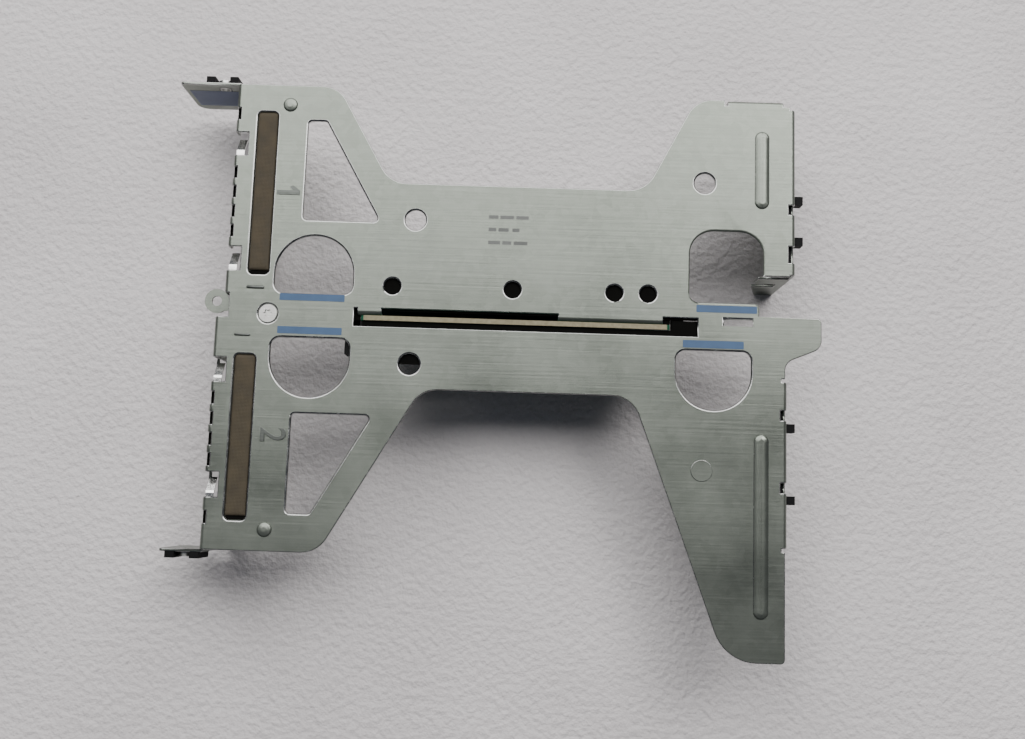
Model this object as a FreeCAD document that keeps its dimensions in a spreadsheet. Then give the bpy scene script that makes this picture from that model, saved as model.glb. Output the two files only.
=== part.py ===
import FreeCAD, Part
import os
from collections import namedtuple

import Sketcher

# A two-slot riser cage for a flat server. One folded steel sheet carries an upright riser board, whose
# two edge connectors take a low-profile card each: the upper card lies towards +Y, the lower towards -Y.
# Inside the model x runs forward from the rear wall, y from the riser board's middle plane and z up from
# the surface that the walls stand on. The finished pieces are shifted so that z = 0 lies under the
# middle of the whole cage.

# Driving dimensions in millimetres
SIZES = {
    # cage as a whole
    "cage_length": 217.3,
    "cage_height": 33.0,
    "upper_span": 78.9,
    "upper_front_span": 78.15,
    "lower_span": 77.0,
    "long_arm_span": 106.6,
    "sheet": 1.0,
    "bend_outer": 1.5,
    "bend_inner": 0.5,
    "bend_relief": 1.8,
    "relief_width": 1.0,
    # rear end
    "wing_reach": 20.4,
    "lower_wing_reach": 13.6,
    "wing_fall": 25.0,
    "wing_drop": 1.8,
    "wing_round": 4.0,
    "rear_step": 2.5,
    "gap_low": 1.1,
    "gap_high": 6.9,
    # front end
    "ear_reach": 8.5,
    "ear_high": 4.4,
    "ear_low": 5.6,
    "ear_round": 4.0,
    "ear_root": 10.6,
    "front_step": 2.7,
    "front_set": 0.7,
    "upper_wall_low": 18.5,
    "front_tab_low": 18.0,
    "lower_wall_high": 17.0,
    "lower_wall_low": 70.6,
    "top_flange_start": 22.7,
    "top_flange_end": 4.0,
    "top_flange_drop": 6.0,
    "return_reach": 10.8,
    "return_foot": 6.8,
    "return_drop": 7.0,
    "return_slot_below": 1.6,
    "return_slot_above": 2.8,
    "return_slot_wall": 3.2,
    # web and arms
    "web_upper": 45.9,
    "web_lower": 23.2,
    "upper_arm_width": 34.3,
    "upper_arm_foot": 53.1,
    "front_arm_width": 33.5,
    "front_arm_foot": 50.0,
    "lower_arm_width": 35.6,
    "lower_arm_foot": 66.5,
    "long_arm_width": 22.4,
    "long_arm_foot": 53.1,
    "arm_round": 9.5,
    "long_arm_round": 14.0,
    "corner_round": 1.5,
    "brace_width": 10.6,
    "brace_x": 24.7,
    "brace_near": 32.4,
    "brace_end": 12.4,
    "brace_round": 1.2,
    # finger holes
    "tongue_half": 7.5,
    "finger_x": 29.4,
    "finger_width": 25.8,
    "finger_depth": 19.4,
    "finger_round": 3.0,
    "front_finger_x": 26.75,
    "front_finger_width": 24.4,
    "notch_start": 34.9,
    "notch_end": 10.5,
    "notch_high": 32.8,
    "notch_low": 8.65,
    "notch_round": 8.0,
    "notch_lip": 11.8,
    "lip_slope": 0.7,
    # round holes and pressed marks in the plate
    "locating_radius": 3.375,
    "locating_x": 62.2,
    "locating_upper": 33.4,
    "locating_lower": 15.0,
    "front_locating_x": 30.25,
    "front_locating_y": 49.0,
    "port_radius": 2.65,
    "port_y": 10.8,
    "port_first": 55.5,
    "port_second": 95.2,
    "port_third": 128.8,
    "port_fourth": 139.9,
    "dimple_radius": 2.4,
    "dimple_x": 18.2,
    "dimple_end": 7.0,
    "disc_radius": 3.5,
    "disc_rise": 0.25,
    "disc_x": 30.4,
    "disc_y": 46.6,
    "rib_width": 4.8,
    "mark_rise": 0.8,
    "mark_flank": 0.7,
    "rib_x": 11.2,
    "upper_rib_low": 40.7,
    "upper_rib_end": 10.8,
    "lower_rib_high": 34.3,
    "lower_rib_end": 13.7,
    "tool_slot_start": 23.4,
    "tool_slot_end": 14.0,
    "tool_slot_high": 3.15,
    "tool_slot_width": 2.0,
    # slot over the riser board
    "slot_lead": 2.1,
    "slot_tail": 8.9,
    "slot_low": 2.85,
    "slot_high": 3.15,
    "tab_start": 1.0,
    "tab_end": 9.1,
    "flange_start": 67.1,
    "flange_end": 101.7,
    "tab_drop": 13.4,
    # windows in the folds
    "fold_window_depth": 4.8,
    "fold_window_length": 8.0,
    "fold_window_height": 6.0,
    "fold_near": 14.6,
    "fold_far": 24.9,
    "fold_notch_depth": 1.6,
    "fold_notch_length": 4.0,
    "fold_notch_pitch": 6.7,
    "fold_notch_lead": 11.4,
    "fold_notch_end": 10.4,
    "front_window_depth": 2.3,
    "front_window_height": 3.0,
    "front_window_gap": 0.8,
    "front_window_length": 3.2,
    "first_window_length": 5.6,
    # openings for the cards' brackets
    "bracket_near": 14.4,
    "bracket_end": 10.0,
    "bracket_gap": 12.1,
    "bracket_offset": 1.2,
    # gaskets in their recesses
    "gasket_x": 7.6,
    "gasket_width": 6.5,
    "gasket_near": 13.6,
    "gasket_end": 9.8,
    "gasket_height": 0.8,
    "recess_wall": 0.9,
    "recess_depth": 1.0,
    # riser board
    "board_thickness": 1.6,
    "board_start": 45.4,
    "board_length": 102.0,
    "board_clear": 0.4,
    "board_below_card": 6.4,
    "finger_tab_start": 14.0,
    "finger_tab_length": 74.0,
    "finger_tab_low": 0.8,
    "finger_tab_key": 22.0,
    "finger_tab_key_width": 1.9,
    # edge connectors
    "upper_card_drop": 16.6,
    "lower_card_drop": 4.2,
    "connector_length": 89.0,
    "connector_width": 7.5,
    "connector_height": 11.25,
    "connector_lead": 2.4,
    "card_gap": 1.9,
    "card_depth": 8.25,
    "connector_end_wall": 2.0,
    "key_from_end": 13.3,
    "key_width": 1.7,
    "contact_pitch": 1.0,
    "contact_width": 0.55,
    "contact_bow": 0.3,
    "contact_crest": 4.2,
    "contact_length": 6.4,
    "contact_margin": 0.9,
    # card guides on the front walls
    "guide_depth": 4.0,
    "guide_below_card": 6.4,
    "guide_drop": 2.0,
    "guide_end": 1.5,
    "guide_groove": 2.2,
    "guide_groove_depth": 2.6,
    "guide_rib": 1.8,
    "guide_pocket_depth": 2.2,
    "peg_width": 2.8,
    "peg_height": 4.0,
    "peg_reach": 3.0,
    "peg_first": 12.2,
    "peg_pitch": 14.0,
    "lower_peg_first": 14.8,
    "lower_peg_pitch": 23.4,
    # bracket springs
    "spring_width": 2.6,
    "spring_flat": 1.6,
    "spring_reach": 6.4,
    "spring_fall": 3.4,
    "spring_thickness": 0.5,
    "spring_round": 1.5,
    "spring_drop": 0.2,
    # clips and nuts outside the wings
    "clip_start": 11.4,
    "clip_end": 0.6,
    "clip_thickness": 2.0,
    "clip_drop": 15.0,
    "clip_bridge": 4.0,
    "nut_radius": 2.4,
    "nut_thickness": 1.6,
    "nut_shank_radius": 1.9,
    "nut_bore_radius": 1.25,
    "nut_x": 5.9,
    "nut_drop": 6.2,
    # tongue bracket with the round ear
    "tongue_x": 14.9,
    "tongue_y": 0.3,
    "tongue_head_radius": 3.0,
    "tongue_head_height": 0.6,
    "tongue_shank_radius": 1.45,
    "tongue_shank_length": 3.4,
    "bracket_step": 8.0,
    "bracket_riser_x": 3.0,
    "bracket_tab_end": 22.0,
    "bracket_tab_low": 4.0,
    "bracket_tab_high": 4.6,
    "neck_low": 2.2,
    "neck_high": 6.4,
    "round_ear_x": 4.5,
    "round_ear_y": 5.4,
    "round_ear_radius": 4.1,
    "round_ear_hole": 1.7,
    # small pieces on the board
    "board_screw_drop": 11.4,
    "board_screw_first": 3.6,
    "board_screw_last": 9.4,
    "board_screw_head": 2.25,
    "board_screw_head_height": 1.5,
    "board_screw_radius": 1.2,
    "board_screw_length": 4.2,
    "film_thickness": 0.3,
    "film_lead": 0.6,
    "film_tail": 1.6,
    "film_tip": 11.6,
    "film_edge": 0.6,
    "film_upper": 16.5,
    "film_lower": 15.0,
    "film_tip_upper": 7.8,
    "film_tip_lower": 6.8,
    "film_gap": 0.2,
    "chip_length": 1.6,
    "chip_width": 0.8,
    "chip_height": 0.7,
    "chip_first": 17.0,
    "chip_pitch": 4.6,
    "chip_above": 1.6,
    # room between pieces that fit together
    "fit_gap": 0.1,
}
SHORT_CONTACTS = 11
LONG_CONTACTS = 71
CHIPS = 15
FOLD_NOTCHES = 4
FULL_ROUND = 0.99
MIDDLE = 0.5
TOLERANCE = 0.001

# Axis that each sketch plane faces, and the two axes that its own coordinates run along
PLANE_AXES = {"XY": "z", "YZ": "x", "XZ": "y"}
ACROSS = {"z": ("x", "y"), "x": ("y", "z"), "y": ("x", "z")}

Corner = namedtuple("Corner", "x y radius", defaults=[None])
Round = namedtuple("Round", "x y radius")


class Size:
    """A length together with the sheet formula that gives it."""

    def __init__(self, value, text):
        self.value = value
        self.text = text

    def __add__(self, other):
        other = as_size(other)
        return Size(self.value + other.value, f"({self.text} + {other.text})")

    def __sub__(self, other):
        other = as_size(other)
        return Size(self.value - other.value, f"({self.text} - {other.text})")

    def __mul__(self, other):
        other = as_size(other)
        return Size(self.value * other.value, f"({self.text} * {other.text})")

    def __truediv__(self, other):
        other = as_size(other)
        return Size(self.value / other.value, f"({self.text} / {other.text})")

    def __neg__(self):
        return ZERO - self


def as_size(number):
    """A plain number as a Size; a Size stays as it is."""
    return number if isinstance(number, Size) else Size(float(number), repr(float(number)))


class Sheet:
    """The spreadsheet of driving dimensions, read by name."""

    def __init__(self, document, sizes):
        table = document.addObject("Spreadsheet::Sheet", "Sizes")
        for row, (name, value) in enumerate(sizes.items(), 1):
            table.set(f"A{row}", name.replace("_", " "))
            table.set(f"B{row}", str(value))
            table.setAlias(f"B{row}", name)
            setattr(self, name, Size(value, f"Sizes.{name}"))
        document.recompute()


ZERO = as_size(0)
doc = FreeCAD.newDocument("RiserCage")
S = Sheet(doc, SIZES)
nodes = []

# Places that several pieces share
plate_top = S.cage_height
plate_low = S.cage_height - S.sheet
front_wall = S.cage_length - S.wing_reach - S.ear_reach
lower_front_wall = front_wall - S.front_step
lower_rear_wall = -S.rear_step
half_board = S.board_thickness / 2
board_end = S.board_start + S.board_length
slot_start = S.board_start - S.slot_lead
slot_end = board_end + S.slot_tail
upper_card_level = plate_low - S.upper_card_drop
lower_card_level = plate_low - S.lower_card_drop
board_low = upper_card_level - S.board_below_card
board_screw_level = plate_top - S.board_screw_drop
nut_level = plate_top - S.nut_drop
datum_x = S.wing_reach - S.cage_length / 2
datum_y = (S.long_arm_span - S.upper_span - S.sheet - S.clip_thickness) / 2


def place(piece):
    """Shifts a finished piece so that the cage stands over the middle of the frame."""
    piece.setExpression("Placement.Base.x", datum_x.text)
    piece.setExpression("Placement.Base.y", datum_y.text)
    nodes.append(piece)
    return piece


def new_body(name):
    body = doc.addObject("PartDesign::Body", name)
    body.Label = name
    return place(body)


def draw(body, name, plane, level, loops):
    """A sketch of closed loops, straight-sided or round, with every corner tied to the sheet."""
    sketch = body.newObject("Sketcher::SketchObject", name)
    role = f"{plane}_Plane"
    support = [item for item in body.Origin.OriginFeatures if item.Role == role][0]
    sketch.AttachmentSupport = [(support, "")]
    sketch.MapMode = "FlatFace"
    sketch.setExpression("AttachmentOffset.Base.z", level.text)
    for loop in loops:
        if isinstance(loop, Round):
            draw_round(sketch, loop)
        else:
            draw_straight(sketch, loop)
    return sketch


def hold(sketch, ties):
    """Ties coordinates and radii to the sheet, each given as a constraint and its size."""
    numbers = sketch.addConstraint([constraint for constraint, size in ties])
    for number, (constraint, size) in zip(numbers, ties):
        sketch.setExpression(f"Constraints[{number}]", size.text)


def point_ties(geometry, point, x, y):
    """Constraints that hold one point, counted from the sketch's own origin."""
    return [
        (Sketcher.Constraint("DistanceX", -1, 1, geometry, point, x.value), x),
        (Sketcher.Constraint("DistanceY", -1, 1, geometry, point, y.value), y),
    ]


def draw_round(sketch, loop):
    centre = FreeCAD.Vector(loop.x.value, loop.y.value, 0)
    number = sketch.addGeometry(Part.Circle(centre, FreeCAD.Vector(0, 0, 1), loop.radius.value), False)
    ties = point_ties(number, 3, loop.x, loop.y)
    ties.append((Sketcher.Constraint("Radius", number, loop.radius.value), loop.radius))
    hold(sketch, ties)


def draw_straight(sketch, loop):
    first = sketch.GeometryCount
    count = len(loop)
    points = [FreeCAD.Vector(corner.x.value, corner.y.value, 0) for corner in loop]
    lines = [Part.LineSegment(points[index], points[(index + 1) % count]) for index in range(count)]
    sketch.addGeometry(lines, False)
    joints = []
    ties = []
    for index, corner in enumerate(loop):
        after = first + (index + 1) % count
        joints.append(Sketcher.Constraint("Coincident", first + index, 2, after, 1))
        ties += point_ties(first + index, 1, corner.x, corner.y)
    sketch.addConstraint(joints)
    hold(sketch, ties)


def edges_along(shape, axis, places):
    """Names of the straight edges parallel to an axis, each given by its place across the axis and,
    where several edges are in line, by a third coordinate that it passes."""
    first, second = ACROSS[axis]
    names = []
    for number, edge in enumerate(shape.Edges, 1):
        ends = [vertex.Point for vertex in edge.Vertexes]
        if len(ends) != 2:
            continue
        run = ends[1] - ends[0]
        if abs(abs(getattr(run, axis)) - run.Length) > TOLERANCE:
            continue
        low, high = sorted(getattr(point, axis) for point in ends)
        for spot in places:
            off_first = abs(getattr(ends[0], first) - spot[0].value)
            off_second = abs(getattr(ends[0], second) - spot[1].value)
            passes = len(spot) == 2 or low < spot[2].value < high
            if off_first < TOLERANCE and off_second < TOLERANCE and passes:
                names.append(f"Edge{number}")
    if len(names) < len(places):
        raise ValueError(f"only {len(names)} of {len(places)} edges found along {axis}")
    return names


def round_edges(body, name, axis, places, radius):
    """Rounds the straight edges at the given places."""
    doc.recompute()
    base = body.Tip
    fillet = body.newObject("PartDesign::Fillet", name)
    fillet.Base = (base, edges_along(base.Shape, axis, places))
    fillet.setExpression("Radius", radius.text)
    return fillet


def flat_rims(shape, level):
    """Names of the edges that lie flat at the given level."""
    names = []
    for number, edge in enumerate(shape.Edges, 1):
        box = edge.BoundBox
        if abs(box.ZMin - level.value) < TOLERANCE and abs(box.ZMax - level.value) < TOLERANCE:
            names.append(f"Edge{number}")
    return names


def slope_edges(body, name, base, names, size):
    """Bevels the named edges of a feature."""
    bevel = body.newObject("PartDesign::Chamfer", name)
    bevel.Base = (base, names)
    bevel.setExpression("Size", size.text)
    return bevel


def round_corners(body, name, plane, loops):
    """Rounds the corners of the loops that state a radius."""
    by_radius = {}
    for loop in loops:
        if isinstance(loop, Round):
            continue
        for corner in loop:
            if corner.radius is not None:
                by_radius.setdefault(corner.radius.text, []).append(corner)
    for number, corners in enumerate(by_radius.values()):
        places = [(corner.x, corner.y) for corner in corners]
        round_edges(body, f"{name}_round_{number}", PLANE_AXES[plane], places, corners[0].radius)


def slab(body, name, plane, low, high, loops):
    """Adds material inside the loops between two levels along the plane's axis."""
    start = -high if plane == "XZ" else low
    sketch = draw(body, f"{name}_sketch", plane, start, loops)
    pad = body.newObject("PartDesign::Pad", name)
    pad.Profile = sketch
    pad.setExpression("Length", (high - low).text)
    round_corners(body, name, plane, loops)
    return pad


def cut(body, name, plane, low, high, loops):
    """Takes away material inside the loops between two levels along the plane's axis."""
    start = -low if plane == "XZ" else high
    sketch = draw(body, f"{name}_sketch", plane, start, loops)
    pocket = body.newObject("PartDesign::Pocket", name)
    pocket.Profile = sketch
    pocket.setExpression("Length", (high - low).text)
    round_corners(body, name, plane, loops)
    return pocket


def repeat(body, feature, axis, count, pitch):
    """Copies a feature along one axis of its sketch."""
    doc.recompute()
    pattern = body.newObject("PartDesign::LinearPattern", f"{feature.Name}_row")
    pattern.Originals = [feature]
    pattern.Direction = (feature.Profile[0], [axis])
    pattern.Mode = "Spacing"
    pattern.Occurrences = count
    pattern.setExpression("Offset", pitch.text)
    body.Tip = pattern
    return pattern


def rectangle(x0, x1, y0, y1, radius=None):
    return [Corner(x0, y0, radius), Corner(x1, y0, radius), Corner(x1, y1, radius), Corner(x0, y1, radius)]


def between(x0, x1, share):
    """The place a share of the way from one place to another."""
    return x0 + (x1 - x0) * share


def plate_outline():
    """Outline of the top plate, clockwise from the upper rear corner, with notches where folds end."""
    flange_start = front_wall - S.top_flange_start
    flange_end = front_wall - S.top_flange_end
    relief_y = S.upper_front_span - S.bend_relief
    relief_x = front_wall - S.bend_relief
    wall_high = relief_y - S.relief_width
    lower_edge = lower_front_wall - S.front_set
    lower_relief = lower_front_wall - S.bend_relief
    notch_left = front_wall - S.notch_start
    notch_right = front_wall - S.notch_end
    lip_end = front_wall - S.notch_lip
    ear_tip = front_wall + S.ear_reach
    return [
        Corner(ZERO, S.upper_span),
        Corner(S.upper_arm_width, S.upper_span, S.arm_round),
        Corner(S.upper_arm_foot, S.web_upper, S.arm_round),
        Corner(front_wall - S.front_arm_foot, S.web_upper, S.arm_round),
        Corner(front_wall - S.front_arm_width, S.upper_front_span, S.arm_round),
        Corner(flange_start - S.relief_width, S.upper_front_span),
        Corner(flange_start - S.relief_width, relief_y),
        Corner(flange_start, relief_y),
        Corner(flange_start, S.upper_front_span),
        Corner(flange_end, S.upper_front_span),
        Corner(flange_end, relief_y),
        Corner(relief_x, relief_y),
        Corner(relief_x, wall_high),
        Corner(front_wall, wall_high),
        Corner(front_wall, S.upper_wall_low),
        Corner(relief_x, S.upper_wall_low),
        Corner(relief_x, S.front_tab_low),
        Corner(notch_right, S.front_tab_low),
        Corner(notch_right, S.notch_high, S.notch_round),
        Corner(notch_left, S.notch_high, S.notch_round),
        Corner(notch_left, S.notch_low, S.finger_round),
        Corner(lip_end, S.notch_low, S.corner_round),
        Corner(lip_end, S.ear_high),
        Corner(ear_tip, S.ear_high, S.corner_round),
        Corner(ear_tip, -S.ear_low, S.ear_round),
        Corner(lower_edge, -S.ear_root, S.ear_round),
        Corner(lower_edge, S.relief_width - S.lower_wall_high),
        Corner(lower_relief, S.relief_width - S.lower_wall_high),
        Corner(lower_relief, -S.lower_wall_high),
        Corner(lower_front_wall, -S.lower_wall_high),
        Corner(lower_front_wall, -S.lower_wall_low),
        Corner(lower_relief, -S.lower_wall_low),
        Corner(lower_relief, -S.lower_wall_low - S.relief_width),
        Corner(lower_edge, -S.lower_wall_low - S.relief_width),
        Corner(lower_edge, -S.long_arm_span, S.corner_round),
        Corner(front_wall - S.long_arm_width, -S.long_arm_span, S.long_arm_round),
        Corner(front_wall - S.long_arm_foot, -S.web_lower, S.arm_round),
        Corner(S.lower_arm_foot, -S.web_lower, S.arm_round),
        Corner(S.lower_arm_width, -S.lower_span, S.arm_round),
        Corner(lower_rear_wall, -S.lower_span),
        Corner(lower_rear_wall, -S.gap_low),
        Corner(S.bend_relief, -S.gap_low),
        Corner(S.bend_relief, S.gap_high),
        Corner(ZERO, S.gap_high),
    ]


def brace_windows():
    """The two triangular windows, whose long sides run beside the arms' slanted edges."""
    windows = []
    arms = [
        (1, S.upper_span, S.web_upper, S.upper_arm_width, S.upper_arm_foot),
        (-1, S.lower_span, S.web_lower, S.lower_arm_width, S.lower_arm_foot),
    ]
    for side, span, web, width, foot in arms:
        far = span - S.brace_end
        slope = (foot - width) / (span - web)
        far_x = width + S.brace_end * slope - S.brace_width
        near_x = width + (span - S.brace_near) * slope - S.brace_width
        windows.append([
            Corner(S.brace_x, far * side, S.brace_round),
            Corner(far_x, far * side, S.brace_round),
            Corner(near_x, S.brace_near * side, S.brace_round),
            Corner(S.brace_x, S.brace_near * side, S.brace_round),
        ])
    return windows


def finger_hole(middle, width, side):
    """A hole for a fingertip: straight beside the tongue and half round away from it."""
    left = middle - width / 2
    right = middle + width / 2
    near = S.tongue_half * side
    far = near + S.finger_depth * side
    arch = width / 2 * FULL_ROUND
    return [
        Corner(left, near, S.finger_round),
        Corner(right, near, S.finger_round),
        Corner(right, far, arch),
        Corner(left, far, arch),
    ]


def board_slot():
    """The slot over the riser board, narrowed where two tabs fold down beside the board."""
    corners = [
        Corner(slot_start, -S.slot_low),
        Corner(slot_end, -S.slot_low),
        Corner(slot_end, S.slot_high),
    ]
    for low, high in reversed(board_tabs()):
        corners += [Corner(high, S.slot_high), Corner(high, half_board)]
        corners += [Corner(low, half_board), Corner(low, S.slot_high)]
    return corners + [Corner(slot_start, S.slot_high)]


def board_tabs():
    """Where the two tabs beside the riser board start and end."""
    return [
        (slot_start + S.tab_start, slot_start + S.tab_end),
        (slot_start + S.flange_start, slot_start + S.flange_end),
    ]


def board_screws_x():
    tabs = board_tabs()
    return [S.board_start + S.board_screw_first, tabs[1][1] - S.board_screw_last]


def gasket_loop(side, clearance):
    """A gasket's outline, wider by the given room."""
    start = (S.gasket_x if side > 0 else S.gasket_x - S.rear_step) - clearance
    span = S.upper_span if side > 0 else S.lower_span
    near = (S.gasket_near - clearance) * side
    far = (span - S.gasket_end + clearance) * side
    width = S.gasket_width + clearance * 2
    return rectangle(start, start + width, near, far, S.corner_round)


def mark_loops(inset):
    """The two ribs on the front arms and the two dimples on the rear arms, narrowed by the given inset."""
    start = front_wall - S.rib_x - S.rib_width / 2 + inset
    end = front_wall - S.rib_x + S.rib_width / 2 - inset
    rib_round = (S.rib_width / 2 - inset) * FULL_ROUND
    upper = (S.upper_rib_low + inset, S.upper_front_span - S.upper_rib_end - inset)
    lower = (S.lower_rib_end - S.long_arm_span + inset, -S.lower_rib_high - inset)
    ribs = [rectangle(start, end, low, high, rib_round) for low, high in (upper, lower)]
    dimple = S.dimple_radius - inset
    upper_dimple = Round(S.dimple_x, S.upper_span - S.dimple_end, dimple)
    lower_dimple = Round(S.dimple_x, S.dimple_end - S.lower_span, dimple)
    return ribs + [upper_dimple, lower_dimple]


def bracket_range(side):
    """Where a card's bracket shows in the rear wall, across and up."""
    span = S.upper_span if side > 0 else S.lower_span
    level = upper_card_level if side > 0 else lower_card_level
    near = S.bracket_near * side
    far = (span - S.bracket_end) * side
    first = level + S.bracket_offset * side
    return near, far, first, first + S.bracket_gap * side


def peg_spots(side):
    """Centres of the two pegs that hold a card guide on its wall."""
    if side > 0:
        first = S.upper_wall_low + S.peg_first
        return [first, first + S.peg_pitch]
    first = -S.lower_wall_high - S.lower_peg_first
    return [first, first - S.lower_peg_pitch]


def peg_loops(side, clearance):
    """Sections of the two pegs, wider by the given room."""
    high = plate_low - S.guide_drop + S.bend_inner + clearance
    low = high - S.peg_height - clearance * 2
    half = S.peg_width / 2 + clearance
    return [rectangle(spot - half, spot + half, low, high) for spot in peg_spots(side)]


def fold_windows(side):
    """Openings along the fold of a rear wall: two wide ones for springs and a row of small ones."""
    span = S.upper_span if side > 0 else S.lower_span
    outer = ZERO if side > 0 else lower_rear_wall
    wide = []
    for near in (S.fold_near, span - S.fold_far):
        near_y = near * side
        far_y = near_y + S.fold_window_length * side
        wide.append(rectangle(outer, outer + S.fold_window_depth, near_y, far_y))
    starts = [S.fold_near + S.fold_notch_lead + S.fold_notch_pitch * step for step in range(FOLD_NOTCHES)]
    starts.append(span - S.fold_notch_end - S.fold_notch_length / 2)
    small = []
    for near in starts:
        near_y = near * side
        far_y = near_y + S.fold_notch_length * side
        small.append(rectangle(outer, outer + S.fold_notch_depth, near_y, far_y))
    return wide, small


def cage_frame():
    """The folded sheet: top plate, rear and front walls, wings and tabs."""
    body = new_body("cage_frame")
    slab(body, "plate", "XY", plate_low, plate_top, [plate_outline()])
    cut(body, "plate_openings", "XY", plate_low, plate_top, plate_openings())
    slope_notch_edge(body)
    pressed_marks(body)
    fold_walls(body)
    fold_wings(body)
    fold_return(body)
    wall_windows(body)
    return body


def plate_openings():
    """Every opening that goes straight through the plate."""
    front_finger = front_wall - S.front_finger_x
    tool_slot = rectangle(
        front_wall - S.tool_slot_start,
        front_wall - S.tool_slot_end,
        S.tool_slot_high - S.tool_slot_width,
        S.tool_slot_high,
    )
    ports = (S.port_first, S.port_second, S.port_third, S.port_fourth)
    return brace_windows() + [
        finger_hole(S.finger_x, S.finger_width, 1),
        finger_hole(S.finger_x, S.finger_width, -1),
        finger_hole(front_finger, S.front_finger_width, -1),
        board_slot(),
        tool_slot,
        Round(S.locating_x, S.locating_upper, S.locating_radius),
        Round(S.locating_x, -S.locating_lower, S.locating_radius),
        Round(front_wall - S.front_locating_x, S.front_locating_y, S.locating_radius),
        Round(S.tongue_x, S.tongue_y, S.tongue_shank_radius + S.fit_gap),
    ] + [Round(spot, S.port_y, S.port_radius) for spot in ports]


def pressed_marks(body):
    """Ribs, dimples and a disc pressed up out of the plate, recesses pressed down, and the screw's seat."""
    crown = plate_top + S.mark_rise
    slab(body, "raised_marks", "XY", plate_top, crown, mark_loops(ZERO))
    doc.recompute()
    marks = body.Tip
    slope_edges(body, "mark_flanks", marks, flat_rims(marks.Shape, crown), S.mark_flank)
    cut(body, "marks_hollow", "XY", plate_low, plate_low + S.mark_rise, mark_loops(S.sheet))
    disc = [Round(front_wall - S.disc_x, -S.disc_y, S.disc_radius)]
    slab(body, "disc", "XY", plate_top, plate_top + S.disc_rise, disc)
    floor = plate_top - S.recess_depth
    room = S.fit_gap + S.recess_wall
    trays = [gasket_loop(side, room) for side in (1, -1)]
    slab(body, "recess_trays", "XY", floor - S.recess_wall, plate_low, trays)
    recesses = [gasket_loop(side, S.fit_gap) for side in (1, -1)]
    cut(body, "recesses", "XY", floor, plate_top, recesses)
    seat = [Round(S.tongue_x, S.tongue_y, S.tongue_head_radius + S.fit_gap)]
    cut(body, "screw_seat", "XY", plate_top - S.tongue_head_height, plate_top, seat)


def slope_notch_edge(body):
    """Presses the plate's edge over all along the upper front notch."""
    doc.recompute()
    plate = body.Tip
    left = front_wall - S.notch_start
    middle = between(S.notch_low, S.notch_high, MIDDLE)
    edges = edges_along(plate.Shape, "y", [(left, plate_top, middle)])
    slope_edges(body, "notch_edge", plate, edges, S.lip_slope)


def wall_ranges():
    """Outer face and ends of the rear walls, then of the front walls."""
    upper_high = S.upper_front_span - S.bend_relief - S.relief_width
    rear = [(ZERO, S.gap_high, S.upper_span), (lower_rear_wall, -S.lower_span, -S.gap_low)]
    front = [
        (front_wall, S.upper_wall_low, upper_high),
        (lower_front_wall, -S.lower_wall_low, -S.lower_wall_high),
    ]
    return rear, front


def fold_walls(body):
    """Walls and tabs that fold down from the plate, with the radius of each fold."""
    rear, front = wall_ranges()
    walls = [rectangle(outer, outer + S.sheet, low, high) for outer, low, high in rear]
    walls += [rectangle(outer - S.sheet, outer, low, high) for outer, low, high in front]
    slab(body, "walls", "XY", ZERO, plate_top, walls)
    tabs = [rectangle(low, high, half_board, half_board + S.sheet) for low, high in board_tabs()]
    slab(body, "board_tabs", "XY", plate_top - S.tab_drop, plate_top, tabs)
    flange_start = front_wall - S.top_flange_start
    flange_end = front_wall - S.top_flange_end
    flange_inner = S.upper_front_span - S.sheet
    flange = rectangle(flange_start, flange_end, flange_inner, S.upper_front_span)
    slab(body, "top_flange", "XY", plate_top - S.top_flange_drop, plate_top, [flange])
    outer_folds = [(outer, plate_top) for outer, low, high in rear + front]
    inner_folds = [(outer + S.sheet, plate_low) for outer, low, high in rear]
    inner_folds += [(outer - S.sheet, plate_low) for outer, low, high in front]
    round_edges(body, "long_folds_outer", "y", outer_folds, S.bend_outer)
    round_edges(body, "long_folds_inner", "y", inner_folds, S.bend_inner)
    tab_middles = [between(low, high, MIDDLE) for low, high in board_tabs()]
    flange_middle = between(flange_start, flange_end, MIDDLE)
    outer_tabs = [(half_board, plate_top, middle) for middle in tab_middles]
    outer_tabs.append((S.upper_front_span, plate_top, flange_middle))
    inner_tabs = [(half_board + S.sheet, plate_low, middle) for middle in tab_middles]
    inner_tabs.append((flange_inner, plate_low, flange_middle))
    round_edges(body, "tab_folds_outer", "x", outer_tabs, S.bend_outer)
    round_edges(body, "tab_folds_inner", "x", inner_tabs, S.bend_inner)


def fold_wings(body):
    """The two ledges that fold out of the rear walls' ends, for the screws of the cards' brackets."""
    wing_high = plate_top - S.wing_drop
    wing_low = plate_top - S.wing_fall
    wings = [
        ("upper_wing", ZERO, S.wing_reach, S.upper_span, S.upper_span + S.sheet),
        ("lower_wing", lower_rear_wall, S.lower_wing_reach, -S.lower_span - S.sheet, -S.lower_span),
    ]
    for name, outer, reach, low, high in wings:
        tip = outer - reach
        root = outer + S.sheet
        loop = [
            Corner(tip, wing_low, S.wing_round),
            Corner(root, wing_low),
            Corner(root, wing_high),
            Corner(tip, wing_high, S.corner_round),
        ]
        slab(body, name, "XZ", low, high, [loop])
    folds = [(S.sheet, S.upper_span + S.sheet), (lower_rear_wall + S.sheet, -S.lower_span - S.sheet)]
    round_edges(body, "wing_folds_outer", "z", folds, S.sheet * FULL_ROUND)


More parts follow.
